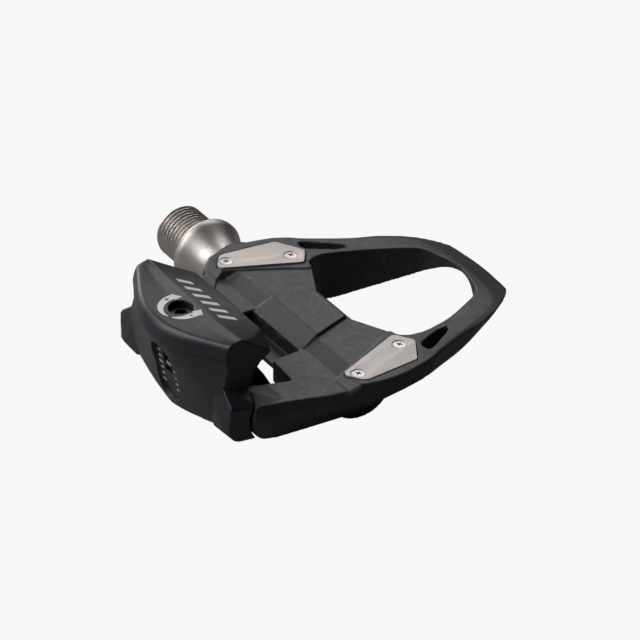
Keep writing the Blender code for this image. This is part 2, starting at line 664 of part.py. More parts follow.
def build_claw():
    claw = loft("rear_claw", [claw_section(-CLAW_HALF + 2 * CLAW_HALF * i / CLAW_SPANS)
                              for i in range(CLAW_SPANS + 1)])
    for side, _ in SIDES:
        shape_claw_side(claw, side)
    cut(claw, side_prism("spring_bay", BAY, (-BAY_HALF, BAY_HALF)))
    for side, _ in SIDES:
        cut(claw, cylinder("tab_bore_%d" % side, PIN_R + 0.06,
                           (PIVOT_X, side * 15.0, PIVOT_Z), 8.0, steps=24))
    cut(claw, turned("adjuster_well", WELL_PROFILE, (BOLT_X, 0, 0), axis=UP, steps=28,
                     cutter=True))
    cut(claw, window_recess())
    # slot through the wall to the pointer
    cut(claw, box("window_slot", (BEHIND_CLAW_X, -36.5), (-1.6, 1.6), (-5.2, 2.4)))
    finish(claw, colour=(0.060, 0.061, 0.065), roughness=0.40, metallic=0.0, sharp_angle=28)


# ---------------------------------------------------------------- tension hardware
# (radius, z)
BOLT_PROFILE = [(0, 10.6), (2.75, 10.6), (2.9, 10.3), (2.9, 7.2), (BOLT_R, 7.2),
                (BOLT_R, -8.6), (1.4, -9.2), (0, -9.2)]
BOLT_HEX_AF = 3.0
# (x, z)
TENSION_OUTLINE = [(-39.0, -7.8), (-39.3, -4.6), (-39.3, -1.6), (-38.6, -1.2),
                   (-33.4, -1.2), (-33.4, -4.6), (-35.0, -7.8)]
TENSION_HALF = 10.6


def build_tension_bolt():
    bolt = turned("tension_bolt", BOLT_PROFILE, (BOLT_X, 0, 0), axis=UP, steps=24)
    cut(bolt, cylinder("bolt_hex", hex_corner_radius(BOLT_HEX_AF), (BOLT_X, 0, 9.6), 4.0,
                       axis=UP, steps=6))
    finish(bolt, colour=(0.10, 0.10, 0.10), roughness=0.35, metallic=1.0)


def build_tension_plate():
    plate = side_prism("tension_plate", TENSION_OUTLINE, (-TENSION_HALF, TENSION_HALF),
                       cutter=False)
    add(plate, box("pointer", (-41.0, -38.9), (-1.1, 1.1), (-2.9, -1.9)))
    cut(plate, cylinder("tension_plate_hole", BOLT_R + 0.08, (BOLT_X, 0, -4.0), 14.0,
                        axis=UP, steps=24))
    finish(plate, colour=(0.45, 0.45, 0.46), roughness=0.4, metallic=1.0)


# ---------------------------------------------------------------- pivot pin and springs
PIVOT = (PIVOT_X, 0, PIVOT_Z)
PIN_HALF = 23.9
PIN_CHAMFER = 0.3
SPACER_R = 3.1
SPACER_HALF = 0.55

SPRING_R = 3.7                  # wire centreline
WIRE_R = 0.75
SPRING_TURNS = 4
SPRING_INNER_Y, SPRING_OUTER_Y = 1.7, 10.6
SPRING_START, SPRING_END = -62.0, 212.0   # leg angles in degrees
POINTS_PER_TURN = 14
START_LEG, END_LEG = 7.0, 6.0   # straight lengths at the outer and inner ends


def build_pivot_pin():
    face_r = PIN_R - PIN_CHAMFER
    edge = PIN_HALF - PIN_CHAMFER
    pin = turned("claw_pivot_pin", [(0, PIN_HALF), (face_r, PIN_HALF), (PIN_R, edge),
                                    (PIN_R, -edge), (face_r, -PIN_HALF), (0, -PIN_HALF)],
                 PIVOT, steps=24)
    finish(pin, colour=(0.50, 0.50, 0.50), roughness=0.3, metallic=1.0)


def build_spring_spacer():
    profile = ring_profile(SPACER_R, PIN_R + 0.15, SPACER_HALF, -SPACER_HALF)
    spacer = turned("spring_spacer", profile, PIVOT, steps=24)
    finish(spacer, colour=(0.12, 0.12, 0.12), roughness=0.5, metallic=0.0)


def spring_path(side):
    """Coil from its outer to its inner end, with a straight tangent leg at each."""
    sweep = 360.0 * (SPRING_TURNS - 1) + (SPRING_END - SPRING_START)
    count = int(sweep / 360.0 * POINTS_PER_TURN)
    coil = []
    for i in range(count + 1):
        along = i / count
        angle = math.radians(SPRING_START + sweep * along)
        coil.append((PIVOT_X + SPRING_R * math.cos(angle),
                     side * (SPRING_OUTER_Y + (SPRING_INNER_Y - SPRING_OUTER_Y) * along),
                     PIVOT_Z + SPRING_R * math.sin(angle)))

    def leg_end(point, degrees, length):
        """Point a signed length along the sweep's tangent."""
        angle = math.radians(degrees)
        x, y, z = point
        return (x - length * math.sin(angle), y, z + length * math.cos(angle))

    start = leg_end(coil[0], SPRING_START, -START_LEG)
    end = leg_end(coil[-1], SPRING_START + sweep, END_LEG)
    return [start] + coil + [end]


def build_spring(side, tag):
    curve = bpy.data.curves.new(tag + "_spring", "CURVE")
    curve.dimensions = "3D"
    curve.bevel_depth = WIRE_R * MM
    curve.bevel_resolution = 2
    curve.use_fill_caps = True
    mesh = curve_mesh(curve, [world(*point) for point in spring_path(side)], cyclic=False)
    with editing(mesh, weld=1e-6):
        pass    # only the weld and the normals are needed
    mesh.name = tag + "_torsion_spring"
    spring = new_object(tag + "_torsion_spring", mesh)
    smooth(spring, 50)
    coat(spring, colour=(0.40, 0.40, 0.41), roughness=0.3, metallic=1.0)


# ---------------------------------------------------------------- spindle
AXLE = (0, 0, AXIS_Z)
THREAD_R = 7.14             # 9/16 inch pedal thread
THREAD_PITCH = 1.27
THREAD_LEN = 13.9
THREAD_DEPTH = 0.72
GROOVE_R = THREAD_R - 0.9   # relief groove between thread and seat
SEAT_R = THREAD_R + 0.15
SEAT_T = 0.3
HEX_AF = 8.0                # socket in the crank end
HEX_CUT_LEN = 20.0
FLANGE_R = 9.6
FLANGE_CHAMFER = 0.4
FLANGE_BACK_Y = 51.4
FLARE_LEN = 8.2             # from the flange down to the neck
FLARE_STEPS = 8
FLARE_R = NECK_R + 0.05     # foot of the flare
JOURNAL_START_Y, JOURNAL_END_Y = 19.3, -8.8
TAIL_CHAMFER = 0.5


def spindle_profile():
    """(radius, y) from the crank end to the outboard end."""
    shoulder = CRANK_TO_CENTRE
    end = shoulder + THREAD_LEN
    profile = [(0, end), (THREAD_R - 1.1, end), (THREAD_R - 0.75, end - 0.4)]
    y = end - 0.7
    for _ in range(int(THREAD_LEN / THREAD_PITCH) - 1):
        profile += [(THREAD_R - THREAD_DEPTH, y), (THREAD_R, y - THREAD_PITCH / 2)]
        y -= THREAD_PITCH
    profile += [
        (GROOVE_R, y), (GROOVE_R, shoulder - SEAT_T),
        (SEAT_R, shoulder - SEAT_T), (SEAT_R, shoulder),
        (FLANGE_R - FLANGE_CHAMFER, shoulder), (FLANGE_R, shoulder - FLANGE_CHAMFER),
        (FLANGE_R, FLANGE_BACK_Y)]
    for i in range(1, FLARE_STEPS + 1):
        t = i / FLARE_STEPS
        profile.append((FLARE_R + (FLANGE_R - FLARE_R) * (1 - t) ** 1.9,
                        FLANGE_BACK_Y - FLARE_LEN * t ** 0.9))
    return profile + [
        (NECK_R, 25.0), (NECK_R, 20.6), (JOURNAL_R + 0.6, JOURNAL_START_Y),
        (JOURNAL_R, JOURNAL_START_Y), (JOURNAL_R, JOURNAL_END_Y),
        (TAIL_R, JOURNAL_END_Y), (TAIL_R, TAIL_END_Y),
        (TAIL_R - TAIL_CHAMFER, TAIL_END_Y - TAIL_CHAMFER),
        (0, TAIL_END_Y - TAIL_CHAMFER)]


def build_spindle():
    spindle = turned("spindle", spindle_profile(), AXLE, steps=36)
    # the socket's floor is in the plane of the crank shoulder
    cut(spindle, cylinder("spindle_hex", hex_corner_radius(HEX_AF),
                          (0, CRANK_TO_CENTRE + HEX_CUT_LEN / 2, AXIS_Z), HEX_CUT_LEN,
                          steps=6))
    finish(spindle, colour=(0.42, 0.38, 0.35), roughness=0.35, metallic=1.0, sharp_angle=25)


# ---------------------------------------------------------------- parts on the spindle
CONE_BORE_R = TAIL_R + 0.06
CONE_FOOT_R = JOURNAL_R + 0.7
# (radius, y)
CONE_PROFILE = [(TAIL_R + 1.3, -9.1), (JOURNAL_R, -9.3), (JOURNAL_R, -12.3),
                (CONE_FOOT_R, -12.9), (CONE_FOOT_R, -13.6), (CONE_BORE_R, -13.6),
                (CONE_BORE_R, -9.1)]
NUT_R = 5.2                 # to the corners
NUT_LEN = 2.7
LOCK_BORE_R = NECK_R + 0.35
# (radius, y)
LOCK_PROFILE = [(9.2, 39.6), (9.3, 39.3), (9.3, 37.4), (SLEEVE_OUTER_R, 37.4),
                (SLEEVE_OUTER_R, 25.6), (LOCK_BORE_R, 25.6), (LOCK_BORE_R, 39.6)]


def build_cone():
    cone = turned("outboard_cone", CONE_PROFILE, AXLE)
    finish(cone, colour=(0.5, 0.5, 0.5), roughness=0.25, metallic=1.0)


def build_lock_nut():
    centre = (0, TAIL_END_Y + NUT_LEN / 2, AXIS_Z)
    nut = cylinder("cone_lock_nut", NUT_R, centre, NUT_LEN, steps=6, cutter=False)
    cut(nut, cylinder("nut_bore", TAIL_R + 0.08, centre, 6.0))
    bake(nut)
    coat(nut, colour=(0.45, 0.45, 0.45), roughness=0.35, metallic=1.0)


def build_bearing_sleeve():
    profile = ring_profile(SLEEVE_OUTER_R, SLEEVE_INNER_R, 21.6, -18.4)
    sleeve = turned("bearing_sleeve", profile, AXLE, steps=48)
    finish(sleeve, colour=(0.55, 0.55, 0.56), roughness=0.3, metallic=1.0)


def build_needle_bearing():
    profile = ring_profile(SLEEVE_INNER_R - 0.06, JOURNAL_R + 0.08, 7.0, -5.0)
    needle = turned("needle_bearing", profile, AXLE, steps=48)
    finish(needle, colour=(0.58, 0.56, 0.50), roughness=0.3, metallic=1.0)


def build_dust_seal():
    profile = ring_profile(SLEEVE_OUTER_R, NECK_R + 0.08, 25.2, 22.2)
    seal = turned("dust_seal", profile, AXLE, steps=40)
    finish(seal, colour=(0.03, 0.03, 0.03), roughness=0.8, metallic=0.0)


def build_lock_sleeve():
    lock = turned("lock_sleeve", LOCK_PROFILE, AXLE, steps=40)
    finish(lock, colour=(0.03, 0.03, 0.035), roughness=0.5, metallic=0.0)


# ---------------------------------------------------------------- ball sets
BALL_R = 1.19
BALL_RING_R = 5.65
BALL_COUNT = 12
BALL_SETS = (("inboard", 17.6), ("outboard", -10.9))   # name, y


def build_balls():
    """Two rings of balls that share one mesh."""
    shell = bmesh.new()
    bmesh.ops.create_icosphere(shell, subdivisions=1, radius=BALL_R * MM)
    mesh = bpy.data.meshes.new("bearing_ball")
    shell.to_mesh(mesh)
    shell.free()
    mesh.shade_smooth()
    mesh.materials.append(material("bearing_ball", colour=(0.65, 0.65, 0.66),
                                   roughness=0.12, metallic=1.0))
    for tag, y in BALL_SETS:
        for k in range(BALL_COUNT):
            angle = 2 * math.pi * (k + 0.5) / BALL_COUNT
            ball = new_object("%s_ball_%02d" % (tag, k + 1), mesh)
            ball.location = world(BALL_RING_R * math.cos(angle), y,
                                  AXIS_Z + BALL_RING_R * math.sin(angle))


# ---------------------------------------------------------------- build
build_body()
for plate_side, plate_tag in SIDES:
    build_contact_plate(plate_side, plate_tag)
build_claw()
build_tension_bolt()
build_tension_plate()
build_pivot_pin()
build_spring_spacer()
for spring_side, spring_tag in SIDES:
    build_spring(spring_side, spring_tag)
build_spindle()
build_cone()
build_lock_nut()
build_bearing_sleeve()
build_needle_bearing()
build_dust_seal()
build_lock_sleeve()
build_balls()
bpy.context.view_layer.update()
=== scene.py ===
"""Looks for the right-hand road clipless pedal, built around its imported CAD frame.

Lengths in the helpers are millimetres in the pedal's own layout: x forward of the spindle
axis, y from the symmetry plane towards the crank, z up from the top of the wear plates.
"""

import math

import bmesh
import bpy
from mathutils import Matrix, Vector
from mathutils.bvhtree import BVHTree


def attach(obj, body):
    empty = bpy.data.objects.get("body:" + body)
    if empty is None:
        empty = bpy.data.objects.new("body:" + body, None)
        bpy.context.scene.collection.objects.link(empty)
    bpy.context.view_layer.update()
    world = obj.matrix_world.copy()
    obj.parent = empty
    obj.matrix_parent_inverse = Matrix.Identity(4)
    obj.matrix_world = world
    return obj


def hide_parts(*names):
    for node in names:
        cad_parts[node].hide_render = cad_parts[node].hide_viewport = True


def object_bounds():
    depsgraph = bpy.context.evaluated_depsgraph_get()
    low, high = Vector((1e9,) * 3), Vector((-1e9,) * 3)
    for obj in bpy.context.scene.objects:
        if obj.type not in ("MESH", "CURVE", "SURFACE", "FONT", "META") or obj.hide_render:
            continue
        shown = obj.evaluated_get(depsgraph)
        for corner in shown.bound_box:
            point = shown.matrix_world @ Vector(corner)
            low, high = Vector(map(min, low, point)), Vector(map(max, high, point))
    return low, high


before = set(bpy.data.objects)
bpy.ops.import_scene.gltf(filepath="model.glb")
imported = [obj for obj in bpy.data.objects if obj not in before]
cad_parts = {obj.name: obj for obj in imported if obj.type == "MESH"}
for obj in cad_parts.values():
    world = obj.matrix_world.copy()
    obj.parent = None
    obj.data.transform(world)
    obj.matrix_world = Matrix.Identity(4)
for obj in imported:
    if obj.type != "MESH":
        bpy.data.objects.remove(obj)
CAD_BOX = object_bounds()

MM = 0.001
CRANK_TO_CENTRE = 53.0
STACK = 10.5
AXIS_Z = -STACK
THREAD_R = 7.14
THREAD_PITCH = 1.27
THREAD_LEN = 13.9
HEX_AF = 8.0
FLANGE_R = 9.6
NECK_R = 6.2
JOURNAL_R = 4.35
TAIL_R = 3.0
BALL_R = 1.19
BALL_RING_R = 5.65
BALL_COUNT = 12
BORE_R = 8.1
SLEEVE_RO = 8.0
SLEEVE_RI = 6.98
BOSS_R = 9.5
BOSS_END_Y = -21.4
PIVOT_X, PIVOT_Z = -27.0, -6.3
PIN_R = 1.9
TAB_R = 4.2
CLAW_HALF = 22.2
PLATE_T = 1.0
HEAD_R = 1.75
BOLT_X = -37.25
SPRING_R = 3.7
WIRE_R = 0.75
SPRING_TURNS = 4
SEAM_R = 7.45

scene = bpy.context.scene
CUTTERS = []


# ================================================================ mesh helpers
def W(x, y, z):
    return Vector((x * MM, (y - CRANK_TO_CENTRE) * MM, (z + STACK) * MM))


def add(name, mesh, cutter=False):
    ob = bpy.data.objects.new(name, mesh)
    scene.collection.objects.link(ob)
    if cutter:
        CUTTERS.append(ob)
    return ob


def from_bm(name, bm, cutter=False):
    me = bpy.data.meshes.new(name)
    bm.to_mesh(me)
    bm.free()
    return add(name, me, cutter)


def hull(name, pts, cutter=True):
    bm = bmesh.new()
    for p in pts:
        bm.verts.new(W(*p))
    res = bmesh.ops.convex_hull(bm, input=bm.verts)
    junk = list({g for g in res["geom_interior"] + res["geom_unused"] if isinstance(g, bmesh.types.BMVert)})
    if junk:
        bmesh.ops.delete(bm, geom=junk, context="VERTS")
    bmesh.ops.recalc_face_normals(bm, faces=bm.faces)
    return from_bm(name, bm, cutter)


def both_sides(pts):
    return [(x, s * y, z) for x, y, z in pts for s in (1, -1)]


def side(pts, s):
    return [(x, s * y, z) for x, y, z in pts]


def box(name, x0, x1, y0, y1, z0, z1, cutter=True):
    return hull(name, [(x, y, z) for x in (x0, x1) for y in (y0, y1) for z in (z0, z1)], cutter)


def loft(name, sections, cutter=False):
    """Closed skin through equal-length cross-sections, ends capped."""
    n = len(sections[0])
    verts = [W(*p) for s in sections for p in s]
    faces = []
    for i in range(len(sections) - 1):
        for j in range(n):
            k = (j + 1) % n
            faces.append((i * n + j, i * n + k, (i + 1) * n + k, (i + 1) * n + j))
    faces.append(tuple(range(n)))
    faces.append(tuple((len(sections) - 1) * n + j for j in range(n)))
    me = bpy.data.meshes.new(name)
    me.from_pydata([tuple(v) for v in verts], [], faces)
    bm = bmesh.new()
    bm.from_mesh(me)
    bmesh.ops.remove_doubles(bm, verts=bm.verts, dist=1e-7)
    bmesh.ops.triangulate(bm, faces=bm.faces)
    bmesh.ops.recalc_face_normals(bm, faces=bm.faces)
    bm.to_mesh(me)
    bm.free()
    return add(name, me, cutter)


def cylinder(name, r, centre, axis, length, steps=64, cutter=True, r2=None):
    bm = bmesh.new()
    bmesh.ops.create_cone(bm, cap_ends=True, segments=steps, radius1=r * MM,
                          radius2=(r if r2 is None else r2) * MM, depth=length * MM)
    bm.transform(Matrix.Translation(W(*centre)) @ Vector(axis).to_track_quat("Z", "Y").to_matrix().to_4x4())
    return from_bm(name, bm, cutter)


def turned(name, profile, centre, axis, steps=96, cutter=False, radius_at=None):
    """Revolved solid. profile is (radius, height) pairs; it either starts and ends on the axis, or closes on itself.

    radius_at(height, turn, radius) may change the radius point by point, for a thread.
    """
    solid = profile[0][0] < 1e-6 and profile[-1][0] < 1e-6
    ring = profile[1:-1] if solid else profile
    bm = bmesh.new()
    rows = []
    for r, h in ring:
        row = []
        for k in range(steps):
            t = k / steps
            rr = radius_at(h, t, r) if radius_at else r
            a = 2 * math.pi * t
            row.append(bm.verts.new((rr * math.cos(a) * MM, rr * math.sin(a) * MM, h * MM)))
        rows.append(row)
    pairs = list(zip(rows[:-1], rows[1:])) + ([] if solid else [(rows[-1], rows[0])])
    for a, b in pairs:
        for k in range(steps):
            j = (k + 1) % steps
            bm.faces.new((a[k], a[j], b[j], b[k]))
    if solid:
        for row, h in ((rows[0], profile[0][1]), (rows[-1], profile[-1][1])):
            c = bm.verts.new((0, 0, h * MM))
            for k in range(steps):
                bm.faces.new((row[k], row[(k + 1) % steps], c))
    bmesh.ops.recalc_face_normals(bm, faces=bm.faces)
    bm.transform(Matrix.Translation(W(*centre)) @ Vector(axis).to_track_quat("Z", "Y").to_matrix().to_4x4())
    return from_bm(name, bm, cutter)


def fillet(profile, r, n=4, keep=()):
    """A turned profile with its inner corners rounded to radius r, or less on short edges."""
    out = [profile[0]]
    for i in range(1, len(profile) - 1):
        p, a, b = Vector(profile[i]), Vector(profile[i - 1]), Vector(profile[i + 1])
        u, v = a - p, b - p
        if i in keep or u.length < 1e-6 or v.length < 1e-6:
            out.append(profile[i])
            continue
        lim = min(r, 0.45 * u.length, 0.45 * v.length)
        u.normalize()
        v.normalize()
        if u.dot(v) < -0.985:
            out.append(profile[i])
            continue
        for k in range(n + 1):
            t = k / n
            q = (p + u * lim) * (1 - t) ** 2 + p * 2 * t * (1 - t) + (p + v * lim) * t * t
            out.append((q.x, q.y))
    out.append(profile[-1])
    return out


def boolean(ob, cutter, op="DIFFERENCE"):
    m = ob.modifiers.new(op.lower(), "BOOLEAN")
    m.operation = op
    m.solver = "EXACT"
    m.object = cutter
    return m


def bake(ob, weld=2e-6):
    """Apply the modifier stack, so the piece is one plain mesh."""
    bpy.context.view_layer.update()
    dg = bpy.context.evaluated_depsgraph_get()
    me = bpy.data.meshes.new_from_object(ob.evaluated_get(dg))
    ob.modifiers.clear()
    old, ob.data = ob.data, me
    bpy.data.meshes.remove(old)
    if weld:
        bm = bmesh.new()
        bm.from_mesh(me)
        bmesh.ops.remove_doubles(bm, verts=bm.verts, dist=weld)
        bmesh.ops.dissolve_degenerate(bm, edges=bm.edges, dist=weld)
        bmesh.ops.recalc_face_normals(bm, faces=bm.faces)
        bm.to_mesh(me)
        bm.free()
    return ob


def drop_cutters():
    for ob in CUTTERS:
        me = ob.data
        bpy.data.objects.remove(ob, do_unlink=True)
        if me.users == 0:
            bpy.data.meshes.remove(me)
    CUTTERS.clear()


def smooth(ob, angle=32.0):
    ob.data.shade_smooth()
    ob.data.set_sharp_from_angle(angle=math.radians(angle))


def moulded(ob, voxel, rounds, keep):
    """Turn crisp block work into one moulded skin with soft edges."""
    m = ob.modifiers.new("skin", "REMESH")
    m.mode = "VOXEL"
    m.voxel_size = voxel * MM
    m.adaptivity = 0.0
    s = ob.modifiers.new("soften", "SMOOTH")
    s.factor = 0.5
    s.iterations = rounds
    bake(ob, weld=0)
    if keep < 1.0:
        d = ob.modifiers.new("thin", "DECIMATE")
        d.ratio = keep
        bake(ob, weld=0)
    ob.data.shade_smooth()
    return ob


def edge_bevel(ob, width, segments=2, angle=30.0):
    m = ob.modifiers.new("edge", "BEVEL")
    m.width = width * MM
    m.segments = segments
    m.limit_method = "ANGLE"
    m.angle_limit = math.radians(angle)
    m.harden_normals = False
    return m


def filled_outline(name, loops, cutter=False):
    """Flat mesh at z=0 (layout x, y) filled inside the first loop and outside the others."""
    cu = bpy.data.curves.new(name, "CURVE")
    cu.dimensions = "2D"
    cu.fill_mode = "BOTH"
    for loop in loops:
        sp = cu.splines.new("POLY")
        sp.points.add(len(loop) - 1)
        for p, (x, y) in zip(sp.points, loop):
            p.co = (x * MM, y * MM, 0.0, 1.0)
        sp.use_cyclic_u = True
    tmp = bpy.data.objects.new(name + "_curve", cu)
    scene.collection.objects.link(tmp)
    bpy.context.view_layer.update()
    dg = bpy.context.evaluated_depsgraph_get()
    me = bpy.data.meshes.new_from_object(tmp.evaluated_get(dg))
    bpy.data.objects.remove(tmp, do_unlink=True)
    bpy.data.curves.remove(cu)
    bm = bmesh.new()
    bm.from_mesh(me)
    bpy.data.meshes.remove(me)
    bmesh.ops.remove_doubles(bm, verts=bm.verts, dist=1e-7)
    return bm


def outline_block(name, loops, z0, z1, cutter=True):
    bm = filled_outline(name, loops)
    bmesh.ops.dissolve_limit(bm, angle_limit=math.radians(0.5), verts=bm.verts, edges=bm.edges)
    bmesh.ops.translate(bm, verts=bm.verts, vec=W(0, 0, z0))
    res = bmesh.ops.extrude_face_region(bm, geom=list(bm.faces))
    top = [g for g in res["geom"] if isinstance(g, bmesh.types.BMVert)]
    bmesh.ops.translate(bm, verts=top, vec=(0, 0, (z1 - z0) * MM))
    bmesh.ops.recalc_face_normals(bm, faces=bm.faces)
    return from_bm(name, bm, cutter)


def arc_points(cx, cz, r, a0, a1, n):
    return [(cx + r * math.cos(math.radians(a0 + (a1 - a0) * i / n)),
             cz + r * math.sin(math.radians(a0 + (a1 - a0) * i / n))) for i in range(n + 1)]


def rounded(outline, radii, grow=0.0, per_corner=12):
    n = len(outline)
    pts = []
    for i in range(n):
        p = Vector(outline[i])
        a = (Vector(outline[i - 1]) - p).normalized()
        b = (Vector(outline[(i + 1) % n]) - p).normalized()
        half = math.acos(max(-1, min(1, a.dot(b)))) / 2
        bis = (a + b).normalized()
        r = radii[i]
        c = p + bis * (r / math.sin(half))
        t0 = (p + a * (r / math.tan(half))) - c
        t1 = (p + b * (r / math.tan(half))) - c
        a0 = math.atan2(t0.y, t0.x)
        a1 = math.atan2(t1.y, t1.x)
        d = (a1 - a0 + math.pi) % (2 * math.pi) - math.pi
        for k in range(per_corner + 1):
            ang = a0 + d * k / per_corner
            pts.append((c.x + (r + grow) * math.cos(ang), c.y + (r + grow) * math.sin(ang)))
    return pts


def printed(name, loops, skin, towards, lift=0.03, depth=0.12, step=0.45):
    """A thin printed mark: flat loops pressed onto skin, seen from towards ('top' or 'rear')."""
    bm = filled_outline(name, loops)
    for _ in range(7):
        long_edges = [e for e in bm.edges if e.calc_length() > step * MM]
        if not long_edges:
            break
        bmesh.ops.subdivide_edges(bm, edges=long_edges, cuts=1)
        bmesh.ops.triangulate(bm, faces=bm.faces)
    res = bmesh.ops.extrude_face_region(bm, geom=list(bm.faces))
    top = {g for g in res["geom"] if isinstance(g, bmesh.types.BMVert)}
    for v in bm.verts:
        u, w = v.co.x / MM, v.co.y / MM
        out = lift if v in top else -depth
        if towards == "top":
            start, direction = W(u, w, 40.0), Vector((0, 0, -1))
        else:
            start, direction = W(-90.0, u, w), Vector((1, 0, 0))
        hit, normal, _, _ = skin.ray_cast(start, direction)
        if hit is None:
            hit = start
        v.co = hit - direction * (out * MM)
    bmesh.ops.recalc_face_normals(bm, faces=bm.faces)
    return from_bm(name, bm)


def skin_of(ob):
    dg = bpy.context.evaluated_depsgraph_get()
    bm = bmesh.new()
    bm.from_object(ob, dg)
    bm.transform(ob.matrix_world)
    tree = BVHTree.FromBMesh(bm)
    bm.free()
    return tree


# ================================================================ materials
class Nodes:
    def __init__(self, name):
        self.mat = bpy.data.materials.new(name)
        self.mat.use_nodes = True
        self.t = self.mat.node_tree
        self.bsdf = self.t.nodes["Principled BSDF"]
        self.coord = self.t.nodes.new("ShaderNodeTexCoord").outputs["Object"]

    def node(self, kind, **props):
        n = self.t.nodes.new(kind)
        for k, v in props.items():
            setattr(n, k, v)
        return n

    def put(self, socket, value):
        if isinstance(value, bpy.types.NodeSocket):
            self.t.links.new(value, socket)
        elif isinstance(value, tuple) and len(value) == 3 and socket.type == "RGBA":
            socket.default_value = (*value, 1.0)
        else:
            socket.default_value = value

    def noise(self, scale, detail=4.0, rough=0.6, stretch=None, seed=0.0):
        vec = self.coord
        m = self.node("ShaderNodeMapping")
        self.put(m.inputs["Vector"], vec)
        m.inputs["Location"].default_value = (seed * 0.013, seed * 0.007, seed * 0.011)
        if stretch:
            m.inputs["Scale"].default_value = stretch
        n = self.node("ShaderNodeTexNoise")
        self.put(n.inputs["Vector"], m.outputs["Vector"])
        n.inputs["Scale"].default_value = scale
        n.inputs["Detail"].default_value = detail
        n.inputs["Roughness"].default_value = rough
        return n.outputs["Fac"]

    def ramp(self, fac, lo, hi, a, b):
        """fac mapped from lo..hi to a..b, held outside."""
        n = self.node("ShaderNodeMapRange")
        self.put(n.inputs["Value"], fac)
        for key, v in (("From Min", lo), ("From Max", hi), ("To Min", a), ("To Max", b)):
            self.put(n.inputs[key], v)
        return n.outputs["Result"]

    def math(self, op, a, b=0.0):
        n = self.node("ShaderNodeMath", operation=op)
        self.put(n.inputs[0], a)
        self.put(n.inputs[1], b)
        return n.outputs[0]

    def mix(self, fac, a, b, mode="MIX"):
        n = self.node("ShaderNodeMix", data_type="RGBA", blend_type=mode)
        self.put(n.inputs[0], fac)
        self.put(n.inputs[6], a)
        self.put(n.inputs[7], b)
        return n.outputs[2]

    def edges(self, lo=0.53, hi=0.60):
        g = self.node("ShaderNodeNewGeometry")
        return self.ramp(g.outputs["Pointiness"], lo, hi, 0.0, 1.0)

    def bump(self, height, strength, distance):
        n = self.node("ShaderNodeBump")
        n.inputs["Strength"].default_value = strength
        n.inputs["Distance"].default_value = distance
        self.put(n.inputs["Height"], height)
        self.put(self.bsdf.inputs["Normal"], n.outputs["Normal"])


def composite(name, dark, light, edge, rough, grain=1.0, bump=0.35):
    """Fibre-filled moulded plastic: mottled tone, fine grain, and paler edges that are part wear, part painted
    highlight.
    """
    n = Nodes(name)
    cloud = n.noise(330.0, 5.0, 0.62, seed=1)
    flow = n.noise(1500.0, 4.0, 0.7, stretch=(1.0, 0.45, 1.0), seed=2)
    speck = n.noise(4200.0, 2.0, 0.5, seed=3)
    tone = n.math("ADD", n.math("MULTIPLY", cloud, 0.35), n.math("ADD", n.math("MULTIPLY", flow, 0.40), n.math("MULTIPLY", speck, 0.25)))
    mid = n.ramp(tone, 0.5 - 0.16 / grain, 0.5 + 0.16 / grain, 0.0, 1.0)
    col = n.mix(mid, dark, light)
    # paler edges found by pointiness: part wear, part painted highlight where the small fillets catch the light
    wear_and_edge_highlight = n.math("MULTIPLY", n.edges(), n.ramp(flow, 0.35, 0.65, 0.35, 0.9))
    col = n.mix(wear_and_edge_highlight, col, edge)
    n.put(n.bsdf.inputs["Base Color"], col)
    n.put(n.bsdf.inputs["Roughness"], n.ramp(tone, 0.35, 0.65, rough + 0.07, rough - 0.07))
    n.put(n.bsdf.inputs["Specular IOR Level"], 0.5)
    height = n.math("ADD", n.math("MULTIPLY", flow, 0.4), n.math("MULTIPLY", speck, 0.6))
    n.bump(height, bump, 0.00012)
    return n.mat


def metal(name, base, rough, brushed=(1.0, 1.0, 1.0), scale=2500.0, depth=0.10, spread=0.06, tint=None, painted_recess_shade=0.0):
    """Satin metal: streaked tone and roughness, with polished edges, and with painted shade darkening its recesses
    when asked.
    """
    n = Nodes(name)
    streak = n.noise(scale, 4.0, 0.65, stretch=brushed, seed=4)
    stain = n.noise(260.0, 3.0, 0.5, seed=5)
    lo = tuple(c * (1 - spread) for c in base)
    hi = tuple(min(1.0, c * (1 + spread)) for c in base)
    col = n.mix(n.ramp(streak, 0.35, 0.65, 0.0, 1.0), lo, hi)
    col = n.mix(n.ramp(stain, 0.35, 0.7, 0.0, 0.35), col, tint or tuple(c * 0.86 for c in base))
    col = n.mix(n.math("MULTIPLY", n.edges(), 0.5), col, tuple(min(1.0, c * 1.25) for c in base))
    if painted_recess_shade:
        # painted shade: recesses such as the screw cross slots are darkened by occlusion
        ao = n.node("ShaderNodeAmbientOcclusion")
        ao.inputs["Distance"].default_value = painted_recess_shade
        col = n.mix(n.ramp(ao.outputs["AO"], 0.60, 0.92, 1.0, 0.0), col, tuple(c * 0.06 for c in base))
    n.put(n.bsdf.inputs["Base Color"], col)
    n.put(n.bsdf.inputs["Metallic"], 1.0)
    n.put(n.bsdf.inputs["Roughness"], n.ramp(streak, 0.3, 0.7, rough + 0.06, rough - 0.06))
    n.bump(streak, depth, 0.00004)
    return n.mat


def rubber(name, base):
    n = Nodes(name)
    fine = n.noise(3000.0, 3.0, 0.6, seed=6)
    col = n.mix(n.ramp(fine, 0.35, 0.65, 0.0, 1.0), tuple(c * 0.8 for c in base), tuple(c * 1.3 for c in base))
    n.put(n.bsdf.inputs["Base Color"], col)
    n.put(n.bsdf.inputs["Roughness"], n.ramp(fine, 0.3, 0.7, 0.85, 0.7))
    n.bump(fine, 0.3, 0.0001)
    return n.mat


